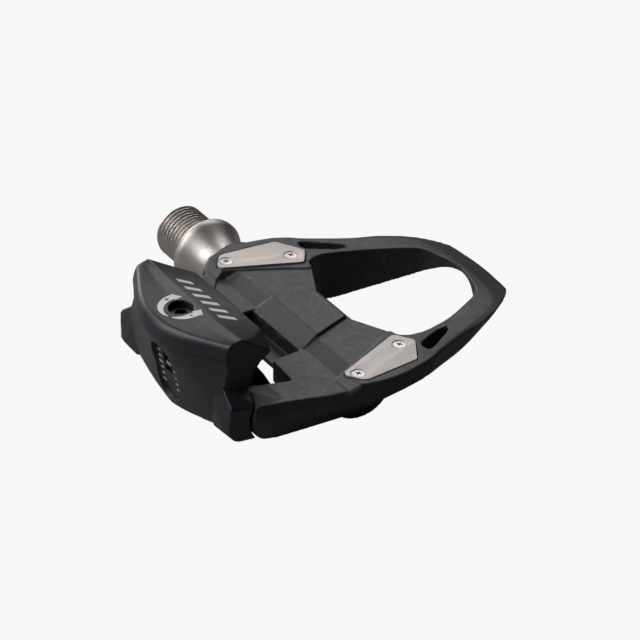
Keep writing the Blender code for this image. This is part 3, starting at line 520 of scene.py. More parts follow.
def print_ink(name, base):
    n = Nodes(name)
    fine = n.noise(5000.0, 3.0, 0.6, seed=7)
    worn = n.noise(700.0, 5.0, 0.7, seed=8)
    col = n.mix(n.ramp(fine, 0.35, 0.65, 0.0, 1.0), tuple(c * 0.9 for c in base), base)
    col = n.mix(n.ramp(worn, 0.60, 0.72, 0.0, 0.35), col, tuple(c * 0.45 for c in base))
    n.put(n.bsdf.inputs["Base Color"], col)
    n.put(n.bsdf.inputs["Roughness"], n.ramp(fine, 0.3, 0.7, 0.55, 0.42))
    n.bump(fine, 0.15, 0.00005)
    return n.mat


def paint(ob, mat):
    ob.data.materials.clear()
    ob.data.materials.append(mat)


def place(ob, body, mat, nodes=()):
    """Ride the piece on its body, give it its material and hide the CAD nodes it stands for."""
    paint(ob, mat)
    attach(ob, body)
    if nodes:
        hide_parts(*nodes)
    return ob


# the third colour of each composite is its edge tone, part wear and part painted highlight
BODY_MAT = composite("moulded_composite", (0.021, 0.023, 0.028), (0.048, 0.050, 0.056), (0.13, 0.13, 0.135), 0.43, grain=1.5)
CLAW_MAT = composite("claw_composite", (0.0125, 0.014, 0.018), (0.020, 0.022, 0.028), (0.08, 0.08, 0.085), 0.36, grain=0.8, bump=0.2)
PLATE_MAT = metal("wear_plate_steel", (0.62, 0.575, 0.555), 0.56, brushed=(0.25, 1.0, 1.0), scale=5200.0, depth=0.06)
SPINDLE_MAT = metal("spindle_steel", (0.60, 0.555, 0.53), 0.46, brushed=(1.0, 0.2, 1.0), scale=2600.0, depth=0.05)
# both screw steels carry painted shade in their cross recesses
# painted light: one screw steel in two copies, the near outboard copy painted lighter and cooler, the far inboard
# copy darker and warmer
SCREW_NEAR_LIT_MAT = metal("screw_bright", (0.64, 0.62, 0.61), 0.38, scale=3800.0, painted_recess_shade=0.0007)
SCREW_FAR_DIM_MAT = metal("screw_steel_dim_copy", (0.62, 0.58, 0.56), 0.36, scale=3800.0, painted_recess_shade=0.0007)
STEEL_MAT = metal("bearing_steel", (0.62, 0.62, 0.63), 0.16, scale=3200.0, depth=0.04)
SPRING_MAT = metal("spring_steel", (0.42, 0.42, 0.43), 0.28, scale=3000.0)
DARK_STEEL_MAT = metal("black_oxide_steel", (0.10, 0.10, 0.105), 0.38, scale=3400.0)
ZINC_MAT = metal("zinc_plate", (0.50, 0.50, 0.51), 0.36, scale=2800.0)
BRASSY_MAT = metal("needle_cage_steel", (0.58, 0.55, 0.47), 0.30, scale=3600.0)
SEAL_MAT = rubber("seal_rubber", (0.022, 0.022, 0.023))
SPACER_MAT = rubber("spacer_nylon", (0.05, 0.05, 0.05))
LOCK_MAT = composite("lock_sleeve_nylon", (0.030, 0.031, 0.034), (0.048, 0.049, 0.052), (0.10, 0.10, 0.10), 0.42, grain=0.7, bump=0.2)
INK_MAT = print_ink("print_pale_grey", (0.82, 0.83, 0.84))


# ================================================================ pedal body
# Half stations from the nose back to the rear arm, each as (x, |y|, z): inner top edge,
# top crease, widest outer edge, foot of the outer wall, lower skirt, inner foot, inner crease.
BAR = [
    [(42.3, 0, -1.3), (43.6, 0, -1.5), (49.2, 0, -3.3), (48.6, 0, -4.4), (45.4, 0, -4.5), (43.5, 0, -3.5), (42.6, 0, -1.9)],
    [(42.1, 3.2, -1.3), (43.4, 6.9, -1.6), (49.0, 7.6, -3.4), (48.3, 7.2, -4.4), (45.2, 5.5, -4.7), (43.1, 3.3, -3.9), (42.3, 3.2, -2.0)],
    [(41.5, 6.5, -1.3), (42.8, 12.0, -1.7), (48.2, 12.8, -3.3), (47.3, 12.0, -4.4), (44.3, 9.3, -5.2), (42.0, 6.7, -5.0), (41.5, 6.4, -2.2)],
    [(39.9, 11.4, -1.3), (41.4, 16.6, -1.7), (44.9, 16.9, -2.7), (44.0, 15.9, -4.2), (41.7, 13.1, -6.2), (39.8, 11.2, -7.6), (39.9, 11.1, -3.1)],
    [(37.5, 13.7, -1.3), (38.4, 19.9, -1.6), (40.8, 20.3, -2.2), (40.0, 19.8, -3.9), (38.8, 16.4, -8.0), (37.4, 13.5, -9.1), (37.5, 13.3, -3.6)],
    [(34.0, 15.7, -1.3), (33.4, 22.6, -1.4), (34.6, 24.0, -1.9), (34.0, 23.1, -4.5), (34.0, 19.7, -8.9), (34.0, 15.6, -10.5), (34.0, 15.1, -4.1)],
    [(27.0, 19.1, -1.3), (26.6, 25.8, -1.2), (27.0, 26.9, -1.7), (26.9, 26.1, -5.7), (27.0, 23.0, -9.5), (27.0, 19.1, -12.8), (27.0, 18.4, -6.8)],
    [(20.5, 21.2, -1.0), (19.6, 29.3, -0.8), (19.9, 30.2, -1.3), (19.7, 28.9, -6.1), (20.3, 25.6, -9.6), (20.5, 21.3, -14.2), (20.5, 20.4, -8.3)],
    [(16.8, 22.0, -0.7), (15.3, 31.6, -0.5), (15.6, 32.4, -1.1), (15.4, 31.0, -5.8), (16.2, 27.3, -9.4), (16.8, 22.0, -14.3), (16.8, 21.2, -8.7)],
    [(13.6, 21.8, -0.5), (13.0, 33.1, -0.3), (13.3, 33.9, -1.0), (13.1, 32.4, -5.4), (13.4, 28.5, -8.6), (13.6, 21.8, -13.9), (13.6, 21.0, -8.6)],
    [(11.2, 20.2, -0.45), (10.4, 34.2, -0.12), (10.6, 35.0, -0.8), (10.5, 33.6, -5.4), (10.8, 29.2, -8.6), (11.2, 20.4, -13.6), (11.2, 19.6, -7.9)],
    [(9.9, 17.8, -0.45), (8.6, 34.9, -0.05), (8.7, 35.7, -0.75), (8.7, 34.2, -5.4), (9.2, 29.6, -8.9), (9.9, 18.6, -13.4), (9.9, 17.9, -7.5)],
    [(4.0, 21.0, -0.45), (2.0, 36.3, 0.0), (2.0, 37.1, -0.75), (2.0, 35.5, -5.5), (3.0, 30.4, -9.6), (4.0, 20.0, -13.0), (4.0, 20.6, -7.5)],
    [(-3.0, 24.8, -0.45), (-4.0, 36.3, 0.0), (-4.0, 37.0, -0.75), (-4.0, 35.6, -5.9), (-3.8, 31.0, -10.4), (-3.0, 22.0, -12.8), (-3.0, 24.0, -7.5)],
    [(-9.65, 28.0, -0.45), (-9.0, 35.1, -0.1), (-9.0, 35.8, -0.85), (-9.0, 34.6, -6.4), (-9.0, 30.6, -11.2), (-9.6, 22.0, -13.0), (-9.6, 25.0, -7.5)],
    [(-11.6, 27.6, -2.1), (-11.4, 33.6, -2.0), (-11.6, 34.5, -3.2), (-11.6, 33.7, -6.7), (-11.6, 30.0, -11.6), (-11.6, 21.8, -13.2), (-11.6, 24.6, -7.5)],
    [(-15.5, 22.4, -2.4), (-16.2, 32.4, -2.4), (-16.5, 33.4, -4.4), (-16.4, 32.9, -7.4), (-16.0, 29.3, -12.0), (-15.5, 21.6, -13.6), (-15.5, 22.0, -7.5)],
    [(-21.0, 21.6, -2.4), (-21.4, 30.6, -2.4), (-21.6, 31.8, -4.8), (-21.5, 31.3, -7.8), (-21.2, 28.3, -12.6), (-21.0, 21.2, -13.8), (-21.0, 21.4, -7.5)],
    [(-27.0, 19.6, -2.4), (-27.4, 28.9, -2.4), (-27.6, 30.3, -5.0), (-27.5, 29.8, -8.0), (-27.2, 27.2, -13.2), (-27.0, 19.6, -13.8), (-27.0, 19.6, -7.5)],
    [(-37.0, 17.2, -2.4), (-37.0, 27.4, -2.4), (-37.0, 28.6, -5.0), (-37.0, 28.1, -8.0), (-37.0, 26.0, -12.0), (-37.0, 17.4, -12.6), (-37.0, 17.3, -7.5)],
]
BAR_STEPS = [12, 10, 9, 9, 9, 9, 9, 6, 6, 6, 6, 6, 6, 4, 1, 1, 1, 1, 1]


def catmull(p0, p1, p2, p3, t):
    return tuple(0.5 * ((2 * b) + (c - a) * t + (2 * a - 5 * b + 4 * c - d) * t * t
                        + (-a + 3 * b - 3 * c + d) * t ** 3)
                 for a, b, c, d in zip(p0, p1, p2, p3))


def bar_sections():
    half = []
    for i in range(len(BAR) - 1):
        for s in range(BAR_STEPS[i]):
            t = s / BAR_STEPS[i]
            row = []
            for j in range(7):
                p1, p2 = BAR[i][j], BAR[i + 1][j]
                if i < 13:
                    if i == 0:
                        q = BAR[1][j]
                        p0 = (q[0], -q[1], q[2])
                    else:
                        p0 = BAR[i - 1][j]
                    row.append(catmull(p0, p1, p2, BAR[i + 2][j], t))
                else:
                    row.append(tuple(a + (b - a) * t for a, b in zip(p1, p2)))
            half.append(row)
    half.append([tuple(map(float, p)) for p in BAR[-1]])
    left = [[(x, -y, z) for x, y, z in row] for row in reversed(half[1:])]
    return left + half


SHELF_Z = -2.6
FLOOR_Z = -0.85
PLATE = [(-10.4, 29.1), (9.7, 20.3), (12.9, 25.3), (8.6, 32.8), (-6.9, 34.4)]
PLATE_ROUND = [1.5, 1.2, 1.2, 1.2, 2.6]
SCREWS = [(-6.8, 30.85), (8.6, 25.0)]

body = loft("pedal_body_moulding", bar_sections())
for s in (1, -1):
    boolean(body, hull("floor_%d" % s, side([
        (5.0, 6.4, FLOOR_Z), (10.8, 18.6, FLOOR_Z), (10.8, 24.0, FLOOR_Z), (-6.0, 30.0, FLOOR_Z),
        (4.8, 6.4, -6.0), (10.4, 18.6, -8.0), (10.6, 24.0, -8.0), (-6.0, 28.0, -8.0),
        (-6.0, 6.4, FLOOR_Z), (-9.6, 6.4, SHELF_Z), (-9.6, 28.0, SHELF_Z), (-9.6, 28.0, -8.0), (-9.6, 6.4, -8.0)], s)), "UNION")
    boolean(body, hull("arm_rise_%d" % s, side([
        (-25.6, 20.6, -2.45), (-25.0, 28.4, -2.5), (-35.0, 28.3, -2.4), (-35.0, 20.6, -0.2), (-30.0, 20.2, -1.3),
        (-25.6, 20.6, -5.0), (-25.0, 28.0, -5.0), (-35.0, 28.0, -5.0), (-35.0, 20.2, -5.0)], s)), "UNION")
for s in (1, -1):
    boolean(body, hull("shelf_%d" % s, side([
        (-9.0, 10.9, SHELF_Z), (-18.8, 11.3, SHELF_Z - 0.25), (-19.8, 24.5, SHELF_Z - 0.1), (-14.0, 28.6, SHELF_Z), (-9.0, 30.0, SHELF_Z),
        (-9.0, 10.9, -8.6), (-18.8, 11.3, -8.8), (-19.8, 24.5, -9.5), (-9.0, 24.0, -10.0)], s)), "UNION")
boolean(body, hull("centre_block", both_sides([
    (4.8, 6.9, 0.0), (-5.6, 10.7, 0.0), (-10.9, 11.15, -3.0), (-10.9, 11.15, -8.0), (5.2, 6.9, -9.0), (4.6, 7.2, -9.0)])), "UNION")
boolean(body, hull("valley_floor", both_sides([
    (-10.0, 11.2, -6.9), (-14.6, 11.2, -6.9), (-16.4, 11.2, -7.0), (-16.4, 11.2, -8.2), (-12.0, 11.2, -9.8), (-9.0, 11.2, -9.8)])), "UNION")
boolean(body, cylinder("boss", BOSS_R, (0, (BOSS_END_Y + 37.0) / 2, AXIS_Z), (0, 1, 0), 37.0 - BOSS_END_Y, 128), "UNION")
boolean(body, cylinder("boss_cap", BOSS_R - 2.2, (0, BOSS_END_Y - 0.7, AXIS_Z), (0, 1, 0), 1.6, 128, r2=BOSS_R - 0.4), "UNION")
boolean(body, hull("web", both_sides([
    (8.6, 17.0, -4.0), (8.6, 17.0, -9.6), (-8.8, 17.0, -4.0), (-8.8, 17.0, -9.6)])), "UNION")
for s in (1, -1):
    boolean(body, hull("gusset_%d" % s, side([
        (8.8, 16.0, -3.0), (8.8, 16.0, -11.0), (-8.8, 16.0, -3.0), (-8.8, 16.0, -11.0),
        (8.8, 27.0, -3.0), (8.6, 27.0, -11.8), (-8.8, 27.0, -3.0), (-8.8, 27.0, -12.0)], s)), "UNION")
boolean(body, hull("crank_relief", [(x, y, z) for z in (-17.0, 4.0) for x, y in (
    (-10.9, 36.0), (-12.4, 31.2), (-20.0, 29.4), (-27.5, 28.6), (-34.0, 30.4), (-34.0, 40.0), (-10.9, 40.0))]))
for s in (1, -1):
    block = box("arm_end_%d" % s, -46.0, PIVOT_X, s * 15.0, s * 33.0, -16.0, 2.0)
    boolean(block, cylinder("arm_round_%d" % s, SEAM_R, (PIVOT_X, s * 24.0, PIVOT_Z), (0, s, 0), 20.0, 128))
    boolean(body, block)
    boolean(body, cylinder("tab_slot_%d" % s, TAB_R + 0.8, (PIVOT_X, s * 14.8, PIVOT_Z), (0, 1, 0), 8.4, 96))
    boolean(body, cylinder("pin_hole_%d" % s, PIN_R + 0.03, (PIVOT_X, s * 20.0, PIVOT_Z), (0, 1, 0), 9.2, 64))
boolean(body, cylinder("axle_bore", BORE_R, (0, (-18.8 + 40.0) / 2, AXIS_Z), (0, 1, 0), 58.8, 128))
for s in (1, -1):
    boolean(body, hull("arm_slot_%d" % s, side([
        (12.9 + 0.4, 27.4, 1.0), (12.9 + 0.4, 29.6, 1.0), (14.3, 30.2, 1.0), (16.0, 29.4, 1.0), (23.6, 24.1, 1.0),
        (24.3, 23.0, 1.0), (23.6, 22.3, 1.0), (20.6, 22.9, 1.0), (16.6, 24.9, 1.0), (14.0, 26.3, 1.0),
        (13.7, 27.4, -4.6), (13.7, 29.2, -4.6), (16.0, 28.8, -4.6), (23.2, 24.0, -4.6),
        (23.6, 22.9, -4.6), (20.6, 23.4, -4.6), (16.6, 25.3, -4.6)], s)))
for s, tag in ((1, "inboard"), (-1, "outboard")):
    shape = [(x, s * y) for x, y in PLATE]
    boolean(body, outline_block("pocket_" + tag, [rounded(shape, PLATE_ROUND, 0.16)], -PLATE_T - 0.10, 3.0))
    for k, (sx, sy) in enumerate(SCREWS):
        boolean(body, cylinder("screw_hole_%s_%d" % (tag, k), 0.95, (sx, s * sy, -2.2), (0, 0, 1), 4.7, 32))
bake(body)
moulded(body, 0.24, 4, 0.45)
drop_cutters()
place(body, "pedal", BODY_MAT, ("pedal_body",))


# ================================================================ rear claw
def claw_row(y):
    a = abs(y) / CLAW_HALF
    rear = -46.2 + 0.0222 * y * y - 1.18e-5 * y ** 4
    lip_x = -24.4 - 1.8 * max(0.0, (abs(y) - 18.2) / 4.0)
    low = -15.0 + 5.2 * min(1.0, (abs(y) / 21.0)) ** 1.25
    h = a * a
    # rounded rim between the top and the hollow back
    ax, az = rear + 2.6 - 0.7 * a, 11.9 + 0.8 * h
    bx, bz = rear, 8.3 + 0.5 * a
    rim = []
    for k in range(7):
        t = k / 6.0
        c, s = math.cos(t * math.pi / 3), math.sin(t * math.pi / 3)
        rim.append((bx + (ax - bx) * (1 - s / math.sin(math.pi / 3)), bz + (az - bz) * (2 * c - 1)))
    return [
        (lip_x, 10.3 - 0.5 * a),
        (-32.9 - 0.7 * a, 11.9 + 1.5 * h),
        (-37.0 + 1.8 * h, 12.3 + 0.8 * h),
    ] + rim + [
        (rear + 0.05, 7.85 + 0.6 * a),
        (rear + 0.75, 7.55 + 0.7 * a),
        (rear + 0.72, 7.20 + 0.75 * a),
        (rear + 0.50, 6.95 + 0.78 * a),
        (rear + 0.5 + 1.1 * (1 - h), 6.5 + 0.7 * a),
        (max(-44.4 + 5.5 * h, rear + 0.5 + 1.1 * (1 - h)), 5.0),
        (-43.2 + 4.2 * h, 0.5),
        (-41.8 + 2.6 * h, -4.5),
        (-40.5 + 1.6 * h, low + 1.5),
        (-39.0 + 0.6 * a, low),
        (-37.3, low + 0.3),
        (-33.9, -2.8),
        (-31.0, 0.2),
        (-30.2, 3.4),
        (-28.6, 5.6),
        (lip_x + 0.4, 7.9 - 0.4 * a),
    ]


N_CLAW = 66
claw = loft("claw_moulding", [[(x, y, z) for x, z in claw_row(y)]
                              for y in [-CLAW_HALF + 2 * CLAW_HALF * i / N_CLAW for i in range(N_CLAW + 1)]])
for s in (1, -1):
    boolean(claw, hull("flank_%d" % s, side([
        (-38.8, 22.0, 1.5), (-32.0, 22.0, 0.1), (-30.0, 18.4, 0.4), (-39.0, 18.4, 2.5), (-32.0, 28.4, -2.4), (-39.0, 26.4, -1.6),
        (-39.5, 26.6, -2.4), (-39.9, 19.0, -1.0), (-40.1, 24.0, -9.2), (-39.8, 26.1, -9.0), (-38.4, 26.3, -11.0), (-33.4, 28.2, -10.6),
        (-37.0, 26.0, -11.8), (-33.0, 20.0, -12.0), (-30.0, 18.4, -5.0), (-33.5, 18.4, -12.0),
        (-39.6, 18.4, -10.2), (-37.0, 20.0, -11.8)], s)), "UNION")
    seam = cylinder("claw_seam_%d" % s, SEAM_R + 0.45, (PIVOT_X, s * 24.0, PIVOT_Z), (0, s, 0), 20.0, 128)
    boolean(seam, box("seam_relief_%d" % s, -36.5, -20.0, s * 17.8, s * 33.0, -16.0, 4.0), "INTERSECT")
    boolean(claw, seam)
    boolean(claw, hull("tab_%d" % s, [(x, s * y, z) for y in (12.2, 17.7) for x, z in
            arc_points(PIVOT_X, PIVOT_Z, TAB_R, -120, 40, 36) + [
                (-24.9, -1.4), (-27.0, 1.7), (-29.6, 4.4), (-33.0, 4.4), (-38.0, -2.0), (-37.0, -9.5)]]), "UNION")
    boolean(claw, hull("lip_facet_%d" % s, side([
        (-34.0, 22.2, 13.5), (-24.4, 14.2, 10.45), (-25.9, 22.2, 8.1), (-16.0, 7.2, 7.8), (-16.0, 22.2, 4.0),
        (-34.0, 30.0, 17.0), (-34.0, 22.2, 17.0), (-16.0, 7.2, 17.0), (-16.0, 30.0, 17.0), (-16.0, 30.0, 4.0)], s)))
boolean(claw, hull("spring_bay", [(x, y, z) for y in (-11.9, 11.9) for x, z in
        ((-38.6, -17.5), (-38.6, -9.0), (-39.7, -3.0), (-40.2, 3.6), (-20.0, 3.6), (-20.0, -17.5))]))
for s in (1, -1):
    boolean(claw, cylinder("tab_bore_%d" % s, PIN_R + 0.06, (PIVOT_X, s * 15.0, PIVOT_Z), (0, 1, 0), 8.0, 64))
boolean(claw, turned("adjuster_well", [(0, 18.0), (3.05, 18.0), (3.05, 7.0), (2.35, 7.0), (2.35, 1.0), (0, 1.0)],
                     (BOLT_X, 0, 0), (0, 0, 1), 96, cutter=True))
boolean(claw, hull("window_recess", [(x0 if far else -52.0, 5.1 * math.cos(math.radians(t)) * 0.98, z)
                                     for far in (0, 1) for t in range(0, 360, 8)
                                     for z in [-4.2 + (3.4 if math.sin(math.radians(t)) >= 0 else -3.4) + 4.9 * math.sin(math.radians(t))]
                                     for x0 in [-42.35 + (4.0 - z) * 0.165]]))
boolean(claw, box("window_slot", -52.0, -36.5, -1.6, 1.6, -5.2, 2.4))
bake(claw)
moulded(claw, 0.22, 4, 0.5)
drop_cutters()
place(claw, "claw", CLAW_MAT, ("rear_claw",))
CLAW_SKIN = skin_of(claw)


# ---------------------------------------------------------------- printed marks on the claw
def bow_arrow(start, end, r, width, head, flip=1):
    """A curved arrow about the adjuster hole: a bow that widens from its tail to its head."""
    n = 28
    outer, inner = [], []
    for i in range(n + 1):
        t = i / n
        a = math.radians(start + (end - start) * t)
        w = width * (0.12 + 0.88 * math.sin(min(1.0, t * 1.15) * math.pi / 2)) / 2
        outer.append((BOLT_X + (r + w) * math.cos(a), (r + w) * math.sin(a)))
        inner.append((BOLT_X + (r - w) * math.cos(a), (r - w) * math.sin(a)))
    turn = math.copysign(1.0, end - start)
    tip_a = math.radians(end + turn * head / r * 57.3)
    a = math.radians(end)
    barb = width / 2 + 0.5
    tip = [(BOLT_X + (r + barb + 1.0) * math.cos(a), (r + barb) * math.sin(a)),
           (BOLT_X + r * math.cos(tip_a), r * math.sin(tip_a)),
           (BOLT_X + (r - barb) * math.cos(a), (r - barb) * math.sin(a))]
    return outer + tip + inner[::-1]


def plus_loop(x, y, arm, half):
    return [(x - half, y - arm), (x + half, y - arm), (x + half, y - half), (x + arm, y - half), (x + arm, y + half),
            (x + half, y + half), (x + half, y + arm), (x - half, y + arm), (x - half, y + half), (x - arm, y + half),
            (x - arm, y - half), (x - half, y - half)]


def bar_loop(x, y, arm, half):
    return [(x - half, y - arm), (x + half, y - arm), (x + half, y + arm), (x - half, y + arm)]


RING = 4.9
plus_a = math.radians(104)
place(printed("tension_arrow_plus", [
    bow_arrow(200, 84, RING, 2.0, 2.4),
    plus_loop(BOLT_X + RING * math.cos(plus_a), RING * math.sin(plus_a), 0.62, 0.17)], CLAW_SKIN, "top"),
    "claw", INK_MAT)
minus_a = math.radians(270)
place(printed("tension_arrow_minus", [
    bow_arrow(214, 290, RING, 2.0, 2.4),
    bar_loop(BOLT_X + RING * math.cos(minus_a), RING * math.sin(minus_a), 0.62, 0.17)], CLAW_SKIN, "top"),
    "claw", INK_MAT)

# slanted bars on the front bevel strip
for k in range(6):
    y0 = 12.6 - 3.9 * k
    x0, x1 = -31.5, -28.4 + 0.12 * k
    place(printed("strip_bar_%d" % (k + 1), [[(x0, y0), (x0, y0 - 1.5), (x1, y0 - 3.6), (x1, y0 - 2.1)]], CLAW_SKIN, "top"),
          "claw", INK_MAT)

# scale ticks beside the window slot
for s in (1, -1):
    for k in range(7):
        z = -8.6 + 1.75 * k
        half = 0.9 if k in (0, 3, 6) else 0.6
        place(printed("scale_tick_%s_%d" % ("inboard" if s > 0 else "outboard", k + 1),
                      [[(s * 3.35 - half, z - 0.16), (s * 3.35 + half, z - 0.16), (s * 3.35 + half, z + 0.16), (s * 3.35 - half, z + 0.16)]],
                      CLAW_SKIN, "rear"), "claw", INK_MAT)


# ================================================================ wear plates and their screws
for s, tag in ((1, "inboard"), (-1, "outboard")):
    shape = [(x, s * y) for x, y in PLATE]
    plate = outline_block(tag + "_wear_plate", [rounded(shape, PLATE_ROUND)], -PLATE_T, 0.0, cutter=False)
    for k, (sx, sy) in enumerate(SCREWS):
        boolean(plate, turned("sink_%s_%d" % (tag, k),
                              [(0, 1.0), (HEAD_R + 0.14, 1.0), (HEAD_R + 0.14, -0.12), (1.12, -0.72), (1.12, -2.0), (0, -2.0)],
                              (sx, s * sy, 0), (0, 0, 1), 64, cutter=True))
    bake(plate)
    edge_bevel(plate, 0.14, 3, 35)
    bake(plate)
    smooth(plate, 40)
    place(plate, "pedal", PLATE_MAT, (tag + "_contact_plate",))
    for k, (sx, sy) in enumerate(SCREWS):
        where = ("rear", "front")[k]
        screw = turned("%s_%s_cross_screw" % (tag, where), fillet(
            [(0, 0.02), (0.9, 0.0), (HEAD_R, -0.10), (HEAD_R, -0.20), (0.90, -0.84), (0.90, -3.9), (0.5, -4.2), (0, -4.2)], 0.12, 4),
            (sx, s * sy, 0), (0, 0, 1), 64)
        for q in (35, 125):
            c, sn = math.cos(math.radians(q)), math.sin(math.radians(q))
            boolean(screw, hull("driver_%d" % q, [
                (sx + u * 1.0 * c - v * 0.19 * sn, s * sy + u * 1.0 * sn + v * 0.19 * c, 0.4)
                for u in (-1, 1) for v in (-1, 1)] + [
                (sx + u * 0.35 * c - v * 0.14 * sn, s * sy + u * 0.35 * sn + v * 0.14 * c, -0.78)
                for u in (-1, 1) for v in (-1, 1)]))
        bake(screw)
        edge_bevel(screw, 0.05, 2, 40)
        bake(screw)
        smooth(screw, 40)
        node = "%s_%s_plate_screw" % (tag, where)
        # near outboard screws take the lighter painted copy of the screw steel, far inboard screws the darker one
        place(screw, "pedal", SCREW_NEAR_LIT_MAT if s < 0 else SCREW_FAR_DIM_MAT, (node,))
    drop_cutters()


# ================================================================ spindle
def thread_radius(h, t, r):
    """Right-hand thread; t is the share of a turn about +Y."""
    start, stop = CRANK_TO_CENTRE + 0.55, CRANK_TO_CENTRE + THREAD_LEN - 0.15
    if not start < h < stop or r > THREAD_R + 0.01:
        return r
    u = (h / THREAD_PITCH - t) % 1.0
    d = abs(u - 0.5) * 2.0
    ridge = max(0.0, min(1.0, (0.92 - d) / 0.74))
    fade = min(1.0, (h - start) / 0.7, (stop - h) / 0.5)
    return min(r, THREAD_R - 0.80 + 0.80 * ridge * max(0.0, fade)) if r > THREAD_R - 0.05 else r


end = CRANK_TO_CENTRE + THREAD_LEN
prof = [(0, end), (THREAD_R - 1.25, end), (THREAD_R - 1.05, end - 0.12), (THREAD_R - 0.8, end - 0.16)]
steps = 150
for i in range(steps + 1):
    prof.append((THREAD_R, end - 0.18 - (THREAD_LEN - 0.72) * i / steps))
prof += [(THREAD_R - 0.82, 53.5), (THREAD_R - 0.9, 53.35), (THREAD_R - 0.9, 52.7), (THREAD_R + 0.15, 52.7), (THREAD_R + 0.15, 53.0),
         (FLANGE_R - 0.45, 53.0), (FLANGE_R - 0.2, 52.93), (FLANGE_R - 0.05, 52.75), (FLANGE_R, 52.5), (FLANGE_R, 51.6), (FLANGE_R - 0.08, 51.35)]
for i in range(1, 25):
    t = i / 24.0
    prof.append((NECK_R + 0.05 + (FLANGE_R - NECK_R - 0.05) * (1 - t) ** 1.9, 51.35 - 8.2 * t ** 0.9))
prof += [(NECK_R, 25.0), (NECK_R, 20.6), (JOURNAL_R + 0.6, 19.3), (JOURNAL_R, 19.3), (JOURNAL_R, -8.8), (TAIL_R, -8.8), (TAIL_R, -16.6),
         (TAIL_R - 0.5, -17.1), (0, -17.1)]
spindle = turned("spindle_forging", prof, (0, 0, AXIS_Z), (0, 1, 0), 144, radius_at=thread_radius)
socket = cylinder("socket", HEX_AF / 2 / math.cos(math.pi / 6), (0, 53.0 + 10.0, AXIS_Z), (0, 1, 0), 20.0, 6)
boolean(spindle, socket)
bake(spindle)
drop_cutters()
smooth(spindle, 42)
place(spindle, "spindle_unit", SPINDLE_MAT, ("spindle",))

cone = turned("outboard_bearing_cone", fillet([(TAIL_R + 1.3, -9.1), (JOURNAL_R, -9.3), (JOURNAL_R, -12.3), (JOURNAL_R + 0.7, -12.9), (JOURNAL_R + 0.7, -13.6),
                                        (TAIL_R + 0.06, -13.6), (TAIL_R + 0.06, -9.1)], 0.15), (0, 0, AXIS_Z), (0, 1, 0), 96)
smooth(cone)
place(cone, "spindle_unit", STEEL_MAT, ("outboard_cone",))

lock = turned("axle_lock_sleeve", fillet([(9.2, 39.6), (9.3, 39.3), (9.3, 37.4), (SLEEVE_RO, 37.4), (SLEEVE_RO, 25.6), (NECK_R + 0.35, 25.6),
                                   (NECK_R + 0.35, 39.6)], 0.2), (0, 0, AXIS_Z), (0, 1, 0), 128)
for k in range(12):
    a = math.radians(15 + 30 * k)
    cx, cz = 9.75 * math.cos(a), AXIS_Z + 9.75 * math.sin(a)
    boolean(lock, cylinder("spline_%d" % k, 0.75, (cx, 39.2, cz), (0, 1, 0), 2.6, 24))
bake(lock)
drop_cutters()
smooth(lock, 35)
place(lock, "pedal", LOCK_MAT, ("lock_sleeve",))

seal = turned("spindle_dust_seal", fillet([(SLEEVE_RO, 25.2), (SLEEVE_RO, 22.2), (NECK_R + 0.08, 22.2), (NECK_R + 0.08, 25.2)], 0.25),
              (0, 0, AXIS_Z), (0, 1, 0), 96)
smooth(seal)
place(seal, "pedal", SEAL_MAT, ("dust_seal",))
race = turned("bearing_race_sleeve", fillet([(SLEEVE_RO, 21.6), (SLEEVE_RO, -18.4), (SLEEVE_RI, -18.4), (SLEEVE_RI, 21.6)], 0.2),
              (0, 0, AXIS_Z), (0, 1, 0), 96)
smooth(race)
place(race, "pedal", STEEL_MAT, ("bearing_sleeve",))
needle = turned("needle_roller_ring", fillet([(SLEEVE_RI - 0.06, 7.0), (SLEEVE_RI - 0.06, -5.0), (JOURNAL_R + 0.08, -5.0), (JOURNAL_R + 0.08, 7.0)], 0.3),
                (0, 0, AXIS_Z), (0, 1, 0), 96)
smooth(needle)
place(needle, "pedal", BRASSY_MAT, ("needle_bearing",))
pin = turned("claw_hinge_pin", fillet([(0, 23.9), (PIN_R - 0.3, 23.9), (PIN_R, 23.6), (PIN_R, -23.6), (PIN_R - 0.3, -23.9), (0, -23.9)], 0.1),
             (PIVOT_X, 0, PIVOT_Z), (0, 1, 0), 64)
smooth(pin)
place(pin, "pedal", STEEL_MAT, ("claw_pivot_pin",))
spacer = turned("coil_spacer", fillet([(3.1, 0.55), (3.1, -0.55), (PIN_R + 0.15, -0.55), (PIN_R + 0.15, 0.55)], 0.15),
                (PIVOT_X, 0, PIVOT_Z), (0, 1, 0), 64)
smooth(spacer)
place(spacer, "pedal", SPACER_MAT, ("spring_spacer",))

# balls
ball_mesh = bpy.data.meshes.new("bearing_ball")
bm = bmesh.new()
bmesh.ops.create_icosphere(bm, subdivisions=4, radius=BALL_R * MM)
bm.to_mesh(ball_mesh)
bm.free()
ball_mesh.shade_smooth()
ball_mesh.materials.append(STEEL_MAT)
for tag, by in (("inboard", 17.6), ("outboard", -10.9)):
    for k in range(BALL_COUNT):
        a = 2 * math.pi * (k + 0.5) / BALL_COUNT
        ob = add("%s_steel_ball_%02d" % (tag, k + 1), ball_mesh)
        ob.location = W(BALL_RING_R * math.cos(a), by, AXIS_Z + BALL_RING_R * math.sin(a))
        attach(ob, tag + "_balls")
        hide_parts("%s_ball_%02d" % (tag, k + 1))

